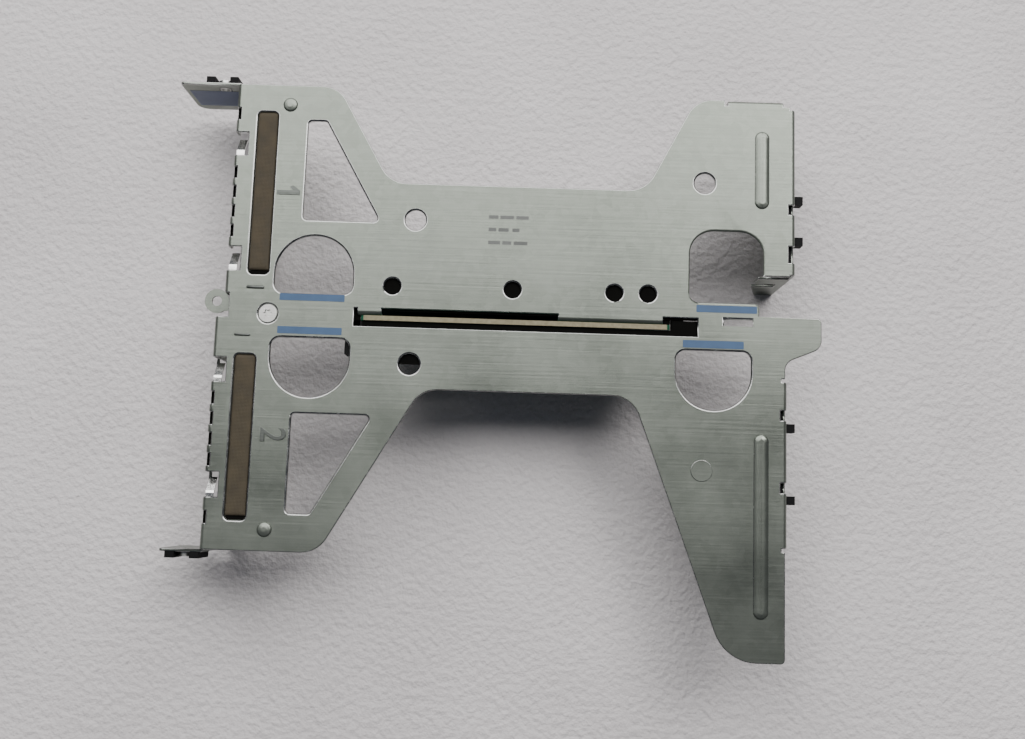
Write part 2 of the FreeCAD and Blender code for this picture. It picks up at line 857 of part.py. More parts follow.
def fold_return(body):
    """The flange that folds back at the upper front wall's end, forked where the card's edge passes."""
    root = front_wall - S.sheet
    tip = front_wall - S.return_reach
    foot = front_wall - S.return_foot
    top = plate_top - S.return_drop
    slot_low = upper_card_level - S.return_slot_below
    slot_high = upper_card_level + S.return_slot_above
    slot_end_x = front_wall - S.return_slot_wall
    fork = [
        Corner(root, ZERO),
        Corner(root, top),
        Corner(tip, top),
        Corner(tip, slot_high),
        Corner(slot_end_x, slot_high),
        Corner(slot_end_x, slot_low),
        Corner(tip, slot_low),
        Corner(foot, ZERO),
    ]
    slab(body, "return_flange", "XZ", S.upper_wall_low, S.upper_wall_low + S.sheet, [fork])


def front_fold_windows():
    """Openings along the front walls' folds, one beside each peg of the card guides."""
    room = S.peg_width / 2 + S.fit_gap + S.front_window_gap
    windows = []
    for side, wall in ((1, front_wall), (-1, lower_front_wall)):
        for number, spot in enumerate(peg_spots(side)):
            first = side > 0 and number == 0
            length = S.first_window_length if first else S.front_window_length
            near = spot - room * side
            windows.append(rectangle(wall - S.front_window_depth, wall, near, near - length * side))
    return windows


def wall_windows(body):
    """Openings in the walls and folds: brackets, springs, guide pegs, nuts and board screws."""
    brackets = []
    folds = []
    pegs = []
    for side in (1, -1):
        near, far, first, last = bracket_range(side)
        brackets.append(rectangle(near, far, first, last, S.corner_round))
        wide, small = fold_windows(side)
        folds += wide + small
        pegs += peg_loops(side, S.fit_gap)
    cut(body, "bracket_openings", "YZ", lower_rear_wall, S.sheet, brackets)
    cut(body, "fold_windows", "XY", plate_top - S.fold_window_height, plate_top, folds)
    front_low = plate_top - S.front_window_height
    cut(body, "front_fold_windows", "XY", front_low, plate_top, front_fold_windows())
    cut(body, "peg_holes", "YZ", lower_front_wall - S.sheet, front_wall, pegs)
    upper_nut = [Round(-S.nut_x, nut_level, S.nut_shank_radius + S.fit_gap)]
    cut(body, "upper_nut_hole", "XZ", S.upper_span, S.upper_span + S.sheet, upper_nut)
    lower_nut = [Round(lower_rear_wall - S.nut_x, nut_level, S.nut_shank_radius + S.fit_gap)]
    cut(body, "lower_nut_hole", "XZ", -S.lower_span - S.sheet, -S.lower_span, lower_nut)
    screws = [Round(x, board_screw_level, S.board_screw_radius + S.fit_gap) for x in board_screws_x()]
    cut(body, "board_screw_holes", "XZ", half_board, half_board + S.sheet, screws)


def riser_board():
    """The upright circuit board, with a keyed tongue of edge contacts at its foot."""
    body = new_body("riser_board")
    top = plate_top - S.board_clear
    tab_start = S.board_start + S.finger_tab_start
    tab_end = tab_start + S.finger_tab_length
    outline = [
        Corner(S.board_start, board_low, S.corner_round),
        Corner(tab_start, board_low),
        Corner(tab_start, S.finger_tab_low, S.brace_round),
        Corner(tab_end, S.finger_tab_low, S.brace_round),
        Corner(tab_end, board_low),
        Corner(board_end, board_low, S.corner_round),
        Corner(board_end, top, S.corner_round),
        Corner(S.board_start, top, S.corner_round),
    ]
    slab(body, "board", "XZ", -half_board, half_board, [outline])
    key = tab_start + S.finger_tab_key
    key_slot = rectangle(key, key + S.finger_tab_key_width, S.finger_tab_low, board_low)
    cut(body, "key_slot", "XZ", -half_board, half_board, [key_slot])
    screws = [Round(x, board_screw_level, S.board_screw_radius + S.fit_gap) for x in board_screws_x()]
    cut(body, "screw_holes", "XZ", -half_board, half_board, screws)
    return body


def connector_place(side):
    """Where a connector starts, its card level, and where it meets the board and its mouth lies."""
    upper_start = S.board_start - S.connector_lead
    start = upper_start if side > 0 else upper_start - S.rear_step
    level = upper_card_level if side > 0 else lower_card_level
    root = half_board * side
    return start, level, root, root + S.connector_height * side


def ordered(first, second):
    return (first, second) if first.value < second.value else (second, first)


def slot_connector(name, side):
    """A moulded edge connector with a keyed slot for the card's contacts."""
    body = new_body(name)
    start, level, root, mouth = connector_place(side)
    end = start + S.connector_length
    half = S.connector_width / 2
    low, high = ordered(root, mouth)
    block = rectangle(start, end, level - half, level + half, S.bend_inner)
    slab(body, f"{name}_block", "XZ", low, high, [block])
    key = start + S.key_from_end
    gap = S.card_gap / 2
    slots = [
        rectangle(start + S.connector_end_wall, key, level - gap, level + gap),
        rectangle(key + S.key_width, end - S.connector_end_wall, level - gap, level + gap),
    ]
    low, high = ordered(mouth - S.card_depth * side, mouth)
    cut(body, f"{name}_slot", "XZ", low, high, slots)
    return body


def slot_contacts(name, side):
    """Both rows of bowed contacts in a connector's slot, before and after the key."""
    body = new_body(name)
    start, level, root, mouth = connector_place(side)
    gap = S.card_gap / 2
    floor = mouth - S.card_depth * side
    low, high = ordered(floor, floor + S.contact_length * side)
    crest = floor + S.contact_crest * side
    bottom = level - gap
    top = level + gap
    groups = [
        ("short", start + S.connector_end_wall, SHORT_CONTACTS),
        ("long", start + S.key_from_end + S.key_width, LONG_CONTACTS),
    ]
    for group, edge, count in groups:
        first = edge + S.contact_margin - S.contact_width / 2
        below = [Corner(low, bottom), Corner(high, bottom), Corner(crest, bottom + S.contact_bow)]
        above = [Corner(low, top), Corner(high, top), Corner(crest, top - S.contact_bow)]
        pair = slab(body, f"{name}_{group}", "YZ", first, first + S.contact_width, [below, above])
        repeat(body, pair, "N_Axis", count, S.contact_pitch)
    return body


def gasket_strip(name, side):
    """A soft strip that fills its recess and stands a little below the plate's face."""
    body = new_body(name)
    floor = plate_top - S.recess_depth
    slab(body, f"{name}_strip", "XY", floor, floor + S.gasket_height, [gasket_loop(side, ZERO)])
    return body


def bracket_spring(name, side, window):
    """A spring finger in a fold window: it starts at the plate's cut edge and dips towards the bracket."""
    body = new_body(name)
    outer = ZERO if side > 0 else lower_rear_wall
    loop = fold_windows(side)[0][window]
    root, far = ordered(loop[0].y, loop[2].y)
    bend = root + S.spring_flat
    tip = root + S.spring_reach
    top = plate_top - S.spring_drop
    tip_top = top - S.spring_fall
    profile = [
        Corner(root, top),
        Corner(bend, top, S.spring_round),
        Corner(tip, tip_top),
        Corner(tip, tip_top - S.spring_thickness),
        Corner(bend, top - S.spring_thickness, S.spring_round),
        Corner(root, top - S.spring_thickness),
    ]
    near = outer + S.sheet
    slab(body, f"{name}_finger", "YZ", near, near + S.spring_width, [profile])
    return body


def retainer_clip(name, side):
    """A moulded fork on the outside of a wing, open at the top around the nut."""
    body = new_body(name)
    outer = ZERO if side > 0 else lower_rear_wall
    face = (S.upper_span + S.sheet) * side if side > 0 else -S.lower_span - S.sheet
    low, high = ordered(face, face + S.clip_thickness * side)
    start = outer - S.clip_start
    end = outer - S.clip_end
    top = plate_top - S.wing_drop
    clip_low = plate_top - S.clip_drop
    bridge = clip_low + S.clip_bridge
    gap_start = outer - S.nut_x - S.nut_radius - S.fit_gap
    gap_end = outer - S.nut_x + S.nut_radius + S.fit_gap
    fork = [
        Corner(start, clip_low, S.corner_round),
        Corner(end, clip_low, S.corner_round),
        Corner(end, top),
        Corner(gap_end, top),
        Corner(gap_end, bridge),
        Corner(gap_start, bridge),
        Corner(gap_start, top),
        Corner(start, top),
    ]
    slab(body, f"{name}_fork", "XZ", low, high, [fork])
    return body


def ledge_nut(name, side):
    """A press-in nut for a card's bracket screw, with its shank in the wing."""
    body = new_body(name)
    outer = ZERO if side > 0 else lower_rear_wall
    inner_face = S.upper_span if side > 0 else -S.lower_span
    outer_face = inner_face + S.sheet * side
    crown = outer_face + S.nut_thickness * side
    x = outer - S.nut_x
    low, high = ordered(outer_face, crown)
    slab(body, f"{name}_head", "XZ", low, high, [Round(x, nut_level, S.nut_radius)])
    low, high = ordered(inner_face, outer_face)
    slab(body, f"{name}_shank", "XZ", low, high, [Round(x, nut_level, S.nut_shank_radius)])
    low, high = ordered(inner_face, crown)
    cut(body, f"{name}_bore", "XZ", low, high, [Round(x, nut_level, S.nut_bore_radius)])
    return body


def card_guide(name, side):
    """A moulded rail on a front wall, grooved for the card's edge and held by two pegs."""
    body = new_body(name)
    wall = front_wall if side > 0 else lower_front_wall
    back = wall - S.sheet
    face = back - S.guide_depth
    level = upper_card_level if side > 0 else lower_card_level
    top = plate_low - S.guide_drop + S.bend_inner + S.fit_gap + S.fit_gap
    guide_low = upper_card_level - S.guide_below_card
    groove = (level - S.guide_groove / 2, level + S.guide_groove / 2)
    if side > 0:
        pocket = (groove[1] + S.guide_rib, top - S.guide_rib)
        steps = [(groove, S.guide_groove_depth), (pocket, S.guide_pocket_depth)]
        low_y = S.upper_wall_low + S.guide_end
        high_y = S.upper_front_span - S.bend_relief - S.relief_width - S.guide_end
    else:
        pocket = (guide_low + S.guide_rib, groove[0] - S.guide_rib)
        steps = [(pocket, S.guide_pocket_depth), (groove, S.guide_groove_depth)]
        low_y = S.guide_end - S.lower_wall_low
        high_y = -S.lower_wall_high - S.guide_end
    section = [Corner(back, guide_low), Corner(back, top), Corner(face, top)]
    for (low, high), depth in reversed(steps):
        floor = face + depth
        section += [Corner(face, high), Corner(floor, high), Corner(floor, low), Corner(face, low)]
    section.append(Corner(face, guide_low))
    slab(body, f"{name}_rail", "XZ", low_y, high_y, [section])
    slab(body, f"{name}_pegs", "YZ", back, wall + S.peg_reach, peg_loops(side, ZERO))
    return body


def tongue_bracket():
    """A stepped bracket under the tongue, whose round ear takes the screw into the server's frame."""
    body = new_body("tongue_bracket")
    low = plate_low - S.bracket_step
    riser = S.bracket_riser_x
    section = [
        Corner(-S.round_ear_x, low),
        Corner(riser + S.sheet, low),
        Corner(riser + S.sheet, plate_low - S.sheet),
        Corner(S.bracket_tab_end, plate_low - S.sheet),
        Corner(S.bracket_tab_end, plate_low),
        Corner(riser, plate_low),
        Corner(riser, low + S.sheet),
        Corner(-S.round_ear_x, low + S.sheet),
    ]
    slab(body, "bracket_step_strip", "XZ", S.neck_low, S.neck_high, [section])
    tab = rectangle(riser + S.sheet, S.bracket_tab_end, -S.bracket_tab_low, S.bracket_tab_high)
    slab(body, "bracket_tab", "XY", plate_low - S.sheet, plate_low, [tab])
    ear = Round(-S.round_ear_x, S.round_ear_y, S.round_ear_radius)
    slab(body, "round_ear", "XY", low, low + S.sheet, [ear])
    ear_hole = Round(-S.round_ear_x, S.round_ear_y, S.round_ear_hole)
    cut(body, "ear_hole", "XY", low, low + S.sheet, [ear_hole])
    screw_hole = Round(S.tongue_x, S.tongue_y, S.tongue_shank_radius + S.fit_gap)
    cut(body, "bracket_screw_hole", "XY", plate_low - S.sheet, plate_low, [screw_hole])
    return body


def tongue_screw():
    """The flush screw that holds the bracket to the plate."""
    body = new_body("tongue_screw")
    seat = plate_top - S.tongue_head_height
    slab(body, "tongue_head", "XY", seat, plate_top, [Round(S.tongue_x, S.tongue_y, S.tongue_head_radius)])
    shank = Round(S.tongue_x, S.tongue_y, S.tongue_shank_radius)
    slab(body, "tongue_shank", "XY", seat - S.tongue_shank_length, seat, [shank])
    return body


def board_screws():
    """Two screws through the board into its tabs."""
    body = new_body("board_screws")
    face = -half_board
    heads = [Round(x, board_screw_level, S.board_screw_head) for x in board_screws_x()]
    shanks = [Round(x, board_screw_level, S.board_screw_radius) for x in board_screws_x()]
    slab(body, "screw_heads", "XZ", face - S.board_screw_head_height, face, heads)
    slab(body, "screw_shanks", "XZ", face, face + S.board_screw_length, shanks)
    return body


def insulator_film(name, side):
    """A dark film under the plate, over a connector, with a tip under the slot's front end."""
    body = new_body(name)
    rear = S.board_start + S.film_lead
    front = board_end + S.film_tail
    tip = board_end + S.film_tip
    beside_board = -half_board - S.film_gap
    beside_tabs = half_board + S.sheet + S.bend_inner + S.film_gap
    if side > 0:
        loop = [
            Corner(rear, beside_tabs),
            Corner(tip, beside_tabs),
            Corner(tip, S.film_tip_upper),
            Corner(front, S.film_tip_upper),
            Corner(front, S.film_upper, S.corner_round),
            Corner(rear, S.film_upper, S.corner_round),
        ]
    else:
        step = board_end + S.film_edge
        loop = [
            Corner(rear, -S.film_lower, S.corner_round),
            Corner(front, -S.film_lower, S.corner_round),
            Corner(front, -S.film_tip_lower),
            Corner(tip, -S.film_tip_lower),
            Corner(tip, beside_tabs - S.film_gap),
            Corner(step, beside_tabs - S.film_gap),
            Corner(step, beside_board),
            Corner(rear, beside_board),
        ]
    slab(body, f"{name}_sheet", "XY", plate_low - S.film_thickness, plate_low, [loop])
    return body


def board_capacitors():
    """A row of chip capacitors along the foot of the board."""
    body = new_body("board_capacitors")
    start = S.board_start + S.chip_first
    level = board_low + S.chip_above
    chip = rectangle(start, start + S.chip_length, level, level + S.chip_width)
    first = slab(body, "capacitor", "XZ", half_board, half_board + S.chip_height, [chip])
    repeat(body, first, "H_Axis", CHIPS, S.chip_pitch)
    return body


def check_document():
    """Stops unless every object is sound, every piece is a valid shape and every feature does its work."""
    for item in doc.Objects:
        if "Invalid" in item.State or "Error" in item.State:
            raise RuntimeError(f"{item.Name} failed: {item.State}")
        if item.isDerivedFrom("PartDesign::Pocket"):
            taken = item.BaseFeature.Shape.Volume - item.Shape.Volume
            if taken < TOLERANCE:
                raise RuntimeError(f"{item.Name} takes nothing away")
    for piece in nodes:
        if piece.Shape.isNull() or not piece.Shape.isValid() or not piece.Shape.Solids:
            raise RuntimeError(f"{piece.Label} has no valid shape")


SIDES = (("upper", 1), ("lower", -1))
cage_frame()
riser_board()
for word, sign in SIDES:
    slot_connector(f"slot_connector_{word}", sign)
    slot_contacts(f"slot_contacts_{word}", sign)
    gasket_strip(f"gasket_strip_{word}", sign)
    bracket_spring(f"bracket_spring_{word}_near", sign, 0)
    bracket_spring(f"bracket_spring_{word}_far", sign, 1)
    retainer_clip(f"retainer_clip_{word}", sign)
    ledge_nut(f"ledge_nut_{word}", sign)
    card_guide(f"card_guide_{word}", sign)
    insulator_film(f"insulator_film_{word}", sign)
tongue_bracket()
tongue_screw()
board_screws()
board_capacitors()
doc.recompute()
check_document()
os.makedirs("parts", exist_ok=True)
for piece in nodes:
    piece.Shape.exportStep(f"parts/{piece.Label}.step")
    box = piece.Shape.BoundBox
    print(f"{piece.Label}: {len(piece.Shape.Solids)} solids, {piece.Shape.Volume:.1f} mm3")
    print(f"    x {box.XMin:.2f} {box.XMax:.2f}, y {box.YMin:.2f} {box.YMax:.2f}")
    print(f"    z {box.ZMin:.2f} {box.ZMax:.2f}")
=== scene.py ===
# %% [markdown]
# # A riser cage for a flat server, finished for the camera
# The cage is one folded sheet of zinc-coated steel. It carries an upright circuit board, and the board's two
# edge connectors each take a low-profile card lying flat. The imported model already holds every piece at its
# real size, so this lesson only dresses it: finishes for the pieces that are right as they are, softer or
# finer meshes for the few that are not, and the paint and stamped marks on the plate.

# %% Load the frame
import math

import bmesh
import bpy
from mathutils import Matrix, Vector


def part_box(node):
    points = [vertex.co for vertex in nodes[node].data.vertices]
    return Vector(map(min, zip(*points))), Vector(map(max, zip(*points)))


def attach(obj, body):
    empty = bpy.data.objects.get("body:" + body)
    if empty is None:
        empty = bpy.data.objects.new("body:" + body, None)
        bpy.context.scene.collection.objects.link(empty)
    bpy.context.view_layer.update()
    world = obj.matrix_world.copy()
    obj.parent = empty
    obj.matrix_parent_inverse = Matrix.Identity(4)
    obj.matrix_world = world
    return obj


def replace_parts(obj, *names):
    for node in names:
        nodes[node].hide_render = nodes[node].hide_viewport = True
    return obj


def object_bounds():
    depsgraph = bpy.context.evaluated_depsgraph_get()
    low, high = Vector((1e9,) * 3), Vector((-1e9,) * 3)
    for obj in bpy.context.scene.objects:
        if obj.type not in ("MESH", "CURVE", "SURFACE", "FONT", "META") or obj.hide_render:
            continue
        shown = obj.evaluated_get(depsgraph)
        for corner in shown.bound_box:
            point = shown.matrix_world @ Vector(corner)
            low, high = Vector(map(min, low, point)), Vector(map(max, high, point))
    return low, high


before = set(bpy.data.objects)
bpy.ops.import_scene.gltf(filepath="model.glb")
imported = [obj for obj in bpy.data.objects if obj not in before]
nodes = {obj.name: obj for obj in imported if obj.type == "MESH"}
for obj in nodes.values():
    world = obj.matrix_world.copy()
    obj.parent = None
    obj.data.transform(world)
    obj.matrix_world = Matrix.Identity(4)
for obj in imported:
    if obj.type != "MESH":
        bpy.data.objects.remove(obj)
cad_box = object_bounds()
MM = 0.001
print("nodes:", len(nodes), "size in mm:", [round(side / MM, 1) for side in cad_box[1] - cad_box[0]])

# %% [markdown]
# ## Levels that the rest is placed by
# Everything on the plate takes its height from a few levels that are read from the model, so nothing
# floats or sinks in. The cage's own highest point is a pressed rib, so the plate's face is taken from the
# head of the flush screw instead, and its underside from the film that lies against it.

# %% Levels and faces
PLATE_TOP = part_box("tongue_screw")[1].z
PLATE_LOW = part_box("insulator_film_upper")[1].z
BOARD_LOW, BOARD_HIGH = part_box("riser_board")
print("plate from", round(PLATE_LOW / MM, 2), "to", round(PLATE_TOP / MM, 2), "mm")

# %% [markdown]
# ## Camera
# The camera looks almost straight down on the plate from about a third of a metre. Its three small turns
# were found from the plate's straight edges, which run to two vanishing points. They are measured with y
# down and z into the picture, so both axes are turned round once more for Blender, whose cameras look
# along -Z.

# %% Camera
IMAGE_WIDTH = 1025
FOCAL_PIXELS = 1050
SENSOR_WIDTH = 36
CAMERA_PLACE = Vector((11.15, -46.75, 373.0)) * MM
CAMERA_TURNS = [math.radians(angle) for angle in (-7.287, 0.315, 1.917)]


def add_camera():
    turn = Matrix.Identity(3)
    for angle, axis in zip(CAMERA_TURNS, "XYZ"):
        turn = turn @ Matrix.Rotation(angle, 3, axis)
    flip = Matrix.Diagonal((1, -1, -1))
    data = bpy.data.cameras.new("plate_camera")
    data.sensor_width = SENSOR_WIDTH
    data.lens = SENSOR_WIDTH * FOCAL_PIXELS / IMAGE_WIDTH
    camera = bpy.data.objects.new("plate_camera", data)
    facing = (flip @ turn @ flip).transposed()
    camera.matrix_world = Matrix.Translation(CAMERA_PLACE) @ facing.to_4x4()
    bpy.context.scene.collection.objects.link(camera)
    bpy.context.scene.camera = camera
    return camera


camera = add_camera()
print("lens in mm:", round(camera.data.lens, 2))

# %% [markdown]
# ## Helpers for meshes
# A finished piece sits at the origin with its place in its mesh, rides on the one body of this rigid part
# and names the finish that it takes. One helper does all of that, so that no piece forgets a step. Paint,
# ink, film and the black sheets of painted shade are all flat fields with round corners, so one more helper
# raises such a field from a face.

# %% Piece helpers


def finish_piece(name, mesh, material):
    """Links a mesh as a piece of the cage."""
    mesh.materials.clear()
    mesh.materials.append(material)
    piece = bpy.data.objects.new(name, mesh)
    bpy.context.scene.collection.objects.link(piece)
    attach(piece, "root")
    print(name, "has", len(mesh.polygons), "faces")
    return piece


def mesh_from(name, build, smooth=True):
    """A mesh made by a function that fills a bmesh."""
    work = bmesh.new()
    build(work)
    bmesh.ops.recalc_face_normals(work, faces=work.faces)
    mesh = bpy.data.meshes.new(name)
    work.to_mesh(mesh)
    work.free()
    for face in mesh.polygons:
        face.use_smooth = smooth
    return mesh


def flat_piece(name, build, material):
    """A flat-shaded piece made by a function that fills a bmesh."""
    return finish_piece(name, mesh_from(name, build, smooth=False), material)


print("piece helpers ready")

# %% Rings and raised fields
CORNER_STEPS = 6
CORNER_ROUND = 0.2 * MM
FILM_BEVEL = 0.25


def bridge(work, lower, upper):
    """Joins two closed rings of the same number of points."""
    count = len(lower)
    for index in range(count):
        after = (index + 1) % count
        work.faces.new((lower[index], lower[after], upper[after], upper[index]))


def rounded_ring(work, low, high, level, radius, inset=0.0):
    """A ring of points round a rectangle with rounded corners."""
    centres = [
        (high[0] - radius, high[1] - radius, 0),
        (low[0] + radius, high[1] - radius, 90),
        (low[0] + radius, low[1] + radius, 180),
        (high[0] - radius, low[1] + radius, 270),
    ]
    reach = radius - inset
    ring = []
    for x, y, start in centres:
        for step in range(CORNER_STEPS + 1):
            angle = math.radians(start + 90 * step / CORNER_STEPS)
            ring.append(work.verts.new((x + reach * math.cos(angle), y + reach * math.sin(angle), level)))
    return ring


def raised_field(work, low, high, base, rise, radius, bevel):
    """A flat field with rounded corners that stands a little above a face."""
    rings = [
        rounded_ring(work, low, high, base, radius),
        rounded_ring(work, low, high, base + rise - bevel, radius),
        rounded_ring(work, low, high, base + rise, radius, bevel),
    ]
    for lower, upper in zip(rings, rings[1:]):
        bridge(work, lower, upper)
    work.faces.new(rings[-1])
    work.faces.new(list(reversed(rings[0])))


def shade_film_field(work, low, high, base, thickness):
    """A raised field of thin film, used for the black sheets of painted shade."""
    raised_field(work, low, high, base, thickness, CORNER_ROUND, thickness * FILM_BEVEL)


def field_corners(field):
    """The low and the high corner, in metres, of a field that is given in millimetres."""
    x0, y0, x1, y1 = [value * MM for value in field]
    return (x0, y0), (x1, y1)


print("round corners have", CORNER_STEPS, "steps")

# %% [markdown]
# ## Helpers for materials
# Every finish is built from nodes on Object coordinates, in metres, because the model is unwrapped nowhere
# and its place never changes. Two shader groups hold what several finishes share. The first gives uneven
# tone, uneven gloss and a fine grain. The second gives the long streaks that rolling leaves on sheet metal.

# %% Node helpers
# noise stays mostly within this range, so masks are stretched from it
NOISE_RANGE = (0.3, 0.7)


def add_node(tree, kind, **settings):
    node = tree.nodes.new(kind)
    for name, value in settings.items():
        setattr(node, name, value)
    return node


def feed(tree, value, socket):
    """Sets a socket to a number, or links another socket to it."""
    if isinstance(value, (int, float)):
        socket.default_value = value
    else:
        tree.links.new(value, socket)


def object_place(tree):
    return add_node(tree, "ShaderNodeTexCoord").outputs["Object"]


def map_place(tree, place, setting, value):
    """Coordinates that a Mapping node stretches or turns."""
    mapping = add_node(tree, "ShaderNodeMapping")
    mapping.inputs[setting].default_value = value
    tree.links.new(place, mapping.inputs["Vector"])
    return mapping.outputs["Vector"]


def add_noise(tree, place, scale, detail):
    noise = add_node(tree, "ShaderNodeTexNoise")
    noise.inputs["Detail"].default_value = detail
    tree.links.new(scale, noise.inputs["Scale"])
    tree.links.new(place, noise.inputs["Vector"])
    return noise.outputs["Fac"]


def add_range(tree, value, low, high, span=NOISE_RANGE):
    """Maps a span of values to a new range; low and high are numbers or sockets."""
    ramp = add_node(tree, "ShaderNodeMapRange")
    tree.links.new(value, ramp.inputs["Value"])
    ramp.inputs["From Min"].default_value = span[0]
    ramp.inputs["From Max"].default_value = span[1]
    feed(tree, low, ramp.inputs["To Min"])
    feed(tree, high, ramp.inputs["To Max"])
    return ramp.outputs["Result"]


def add_math(tree, operation, first, second):
    node = add_node(tree, "ShaderNodeMath", operation=operation)
    feed(tree, first, node.inputs[0])
    feed(tree, second, node.inputs[1])
    return node.outputs["Value"]


def mix_colours(tree, mask, first, second):
    """Blends two colours, given as RGB or as sockets, by a mask."""
    mix = add_node(tree, "ShaderNodeMix", data_type="RGBA")
    tree.links.new(mask, mix.inputs["Factor"])
    for name, colour in (("A", first), ("B", second)):
        socket = [item for item in mix.inputs if item.name == name and item.type == "RGBA"][0]
        if isinstance(colour, tuple):
            socket.default_value = (*colour, 1.0)
        else:
            tree.links.new(colour, socket)
    return [item for item in mix.outputs if item.type == "RGBA"][0]


print("node helpers ready")

# %% Shader groups
PATCH_DETAIL = 4.0
GRAIN_DETAIL = 2.0
STREAK_DETAIL = 3.0
STREAK_STRETCH = (0.02, 1.0, 1.0)


def new_group(name, inputs, outputs):
    tree = bpy.data.node_groups.new(name, "ShaderNodeTree")
    for label, value in inputs.items():
        socket = tree.interface.new_socket(label, in_out="INPUT", socket_type="NodeSocketFloat")
        socket.default_value = value
    for label in outputs:
        tree.interface.new_socket(label, in_out="OUTPUT", socket_type="NodeSocketFloat")
    return tree, add_node(tree, "NodeGroupInput"), add_node(tree, "NodeGroupOutput")


def uneven_surface_group():
    """Patches of tone and gloss with a fine grain, for moulded, painted and coated surfaces."""
    sizes = {"Patch Scale": 40.0, "Grain Scale": 2500.0, "Smoothest": 0.35, "Roughest": 0.5}
    tree, entry, result = new_group("uneven_surface", sizes, ["Tone", "Roughness", "Grain"])
    place = object_place(tree)
    patches = add_noise(tree, place, entry.outputs["Patch Scale"], PATCH_DETAIL)
    grain = add_noise(tree, place, entry.outputs["Grain Scale"], GRAIN_DETAIL)
    rough = add_range(tree, patches, entry.outputs["Smoothest"], entry.outputs["Roughest"])
    tree.links.new(add_range(tree, patches, 0.0, 1.0), result.inputs["Tone"])
    tree.links.new(rough, result.inputs["Roughness"])
    tree.links.new(grain, result.inputs["Grain"])
    return tree


def rolled_streaks_group():
    """Long fine streaks along X and a sprinkle of crystal patches, for rolled and coated sheet."""
    sizes = {"Streak Scale": 900.0, "Crystal Scale": 260.0}
    tree, entry, result = new_group("rolled_streaks", sizes, ["Streaks", "Crystals"])
    place = object_place(tree)
    along = map_place(tree, place, "Scale", STREAK_STRETCH)
    streaks = add_noise(tree, along, entry.outputs["Streak Scale"], STREAK_DETAIL)
    crystals = add_node(tree, "ShaderNodeTexVoronoi")
    tree.links.new(place, crystals.inputs["Vector"])
    tree.links.new(entry.outputs["Crystal Scale"], crystals.inputs["Scale"])
    tone = add_node(tree, "ShaderNodeSeparateColor")
    tree.links.new(crystals.outputs["Color"], tone.inputs["Color"])
    tree.links.new(add_range(tree, streaks, 0.0, 1.0), result.inputs["Streaks"])
    tree.links.new(tone.outputs["Red"], result.inputs["Crystals"])
    return tree


UNEVEN = uneven_surface_group()
STREAKS = rolled_streaks_group()
print("shader groups:", UNEVEN.name, STREAKS.name)

# %% [markdown]
# ## Helpers for finishes
# Plastic, film, paint, ink and bare steel differ in their tones, their gloss and the size of their grain,
# but their nodes are joined in the same way. Each could have its own tree. One function with those values
# as its arguments is shorter, and a later change to it reaches them all.

# %% Finish helpers


def place_group(tree, group, **values):
    """Places a shader group and sets its inputs, named in small letters."""
    node = add_node(tree, "ShaderNodeGroup", node_tree=group)
    for name, value in values.items():
        node.inputs[name.replace("_", " ").title()].default_value = value
    return node.outputs


def new_material(name, metallic=0.0):
    material = bpy.data.materials.new(name)
    material.use_nodes = True
    tree = material.node_tree
    shader = tree.nodes["Principled BSDF"]
    shader.inputs["Metallic"].default_value = metallic
    return material, tree, shader


def add_bump(tree, shader, height, depth):
    bump = add_node(tree, "ShaderNodeBump")
    bump.inputs["Distance"].default_value = depth
    tree.links.new(height, bump.inputs["Height"])
    tree.links.new(bump.outputs["Normal"], shader.inputs["Normal"])


def two_tone_finish(name, tones, gloss, scales, depth, metallic=0.0, shine=0.5):
    """A finish between two tones and two roughnesses; scales are those of its patches and its grain."""
    material, tree, shader = new_material(name, metallic)
    shader.inputs["Specular IOR Level"].default_value = shine
    patches = place_group(
        tree, UNEVEN, patch_scale=scales[0], grain_scale=scales[1], smoothest=gloss[0], roughest=gloss[1]
    )
    tree.links.new(mix_colours(tree, patches["Tone"], *tones), shader.inputs["Base Color"])
    tree.links.new(patches["Roughness"], shader.inputs["Roughness"])
    add_bump(tree, shader, patches["Grain"], depth)
    return material


def show(words, material):
    """Gives a finish to every model piece whose name starts with one of the words."""
    for name in nodes:
        if name.startswith(words):
            nodes[name].data.materials.clear()
            nodes[name].data.materials.append(material)


print("finish helpers ready")

# %% [markdown]
# ## Zinc-coated sheet
# The cage is satin steel with a thin zinc coat: grey with a trace of green, streaked by rolling, with faint
# crystal patches and uneven gloss from handling. It could be a plain metal with one roughness, but then the
# large plate would look like plastic. Here the tone, the gloss and a very fine bump all vary a little.

# %% Zinc-coated sheet
ZINC_DARK = (0.172, 0.190, 0.164)
ZINC_LIGHT = (0.242, 0.264, 0.231)
ZINC_WHITE = (0.32, 0.345, 0.305)
ZINC_METALLIC = 0.85
ZINC_GRAIN = 0.012 * MM
CRYSTAL_SHARE = 0.22
STREAK_SHARE = 0.28
FULL_RANGE = (0.0, 1.0)


def zinc_sheet():
    material, tree, shader = new_material("zinc_sheet", ZINC_METALLIC)
    patches = place_group(
        tree, UNEVEN, patch_scale=38.0, grain_scale=5200.0, smoothest=0.30, roughest=0.42
    )
    rolled = place_group(tree, STREAKS, streak_scale=1500.0, crystal_scale=420.0)
    tone = mix_colours(tree, patches["Tone"], ZINC_DARK, ZINC_LIGHT)
    crystals = add_range(tree, rolled["Crystals"], 0.0, CRYSTAL_SHARE, FULL_RANGE)
    tone = mix_colours(tree, crystals, tone, ZINC_WHITE)
    streaks = add_range(tree, rolled["Streaks"], 0.0, STREAK_SHARE, FULL_RANGE)
    tone = mix_colours(tree, streaks, tone, ZINC_DARK)
    tree.links.new(tone, shader.inputs["Base Color"])
    tree.links.new(patches["Roughness"], shader.inputs["Roughness"])
    relief = add_math(tree, "ADD", patches["Grain"], rolled["Streaks"])
    add_bump(tree, shader, relief, ZINC_GRAIN)
    return material


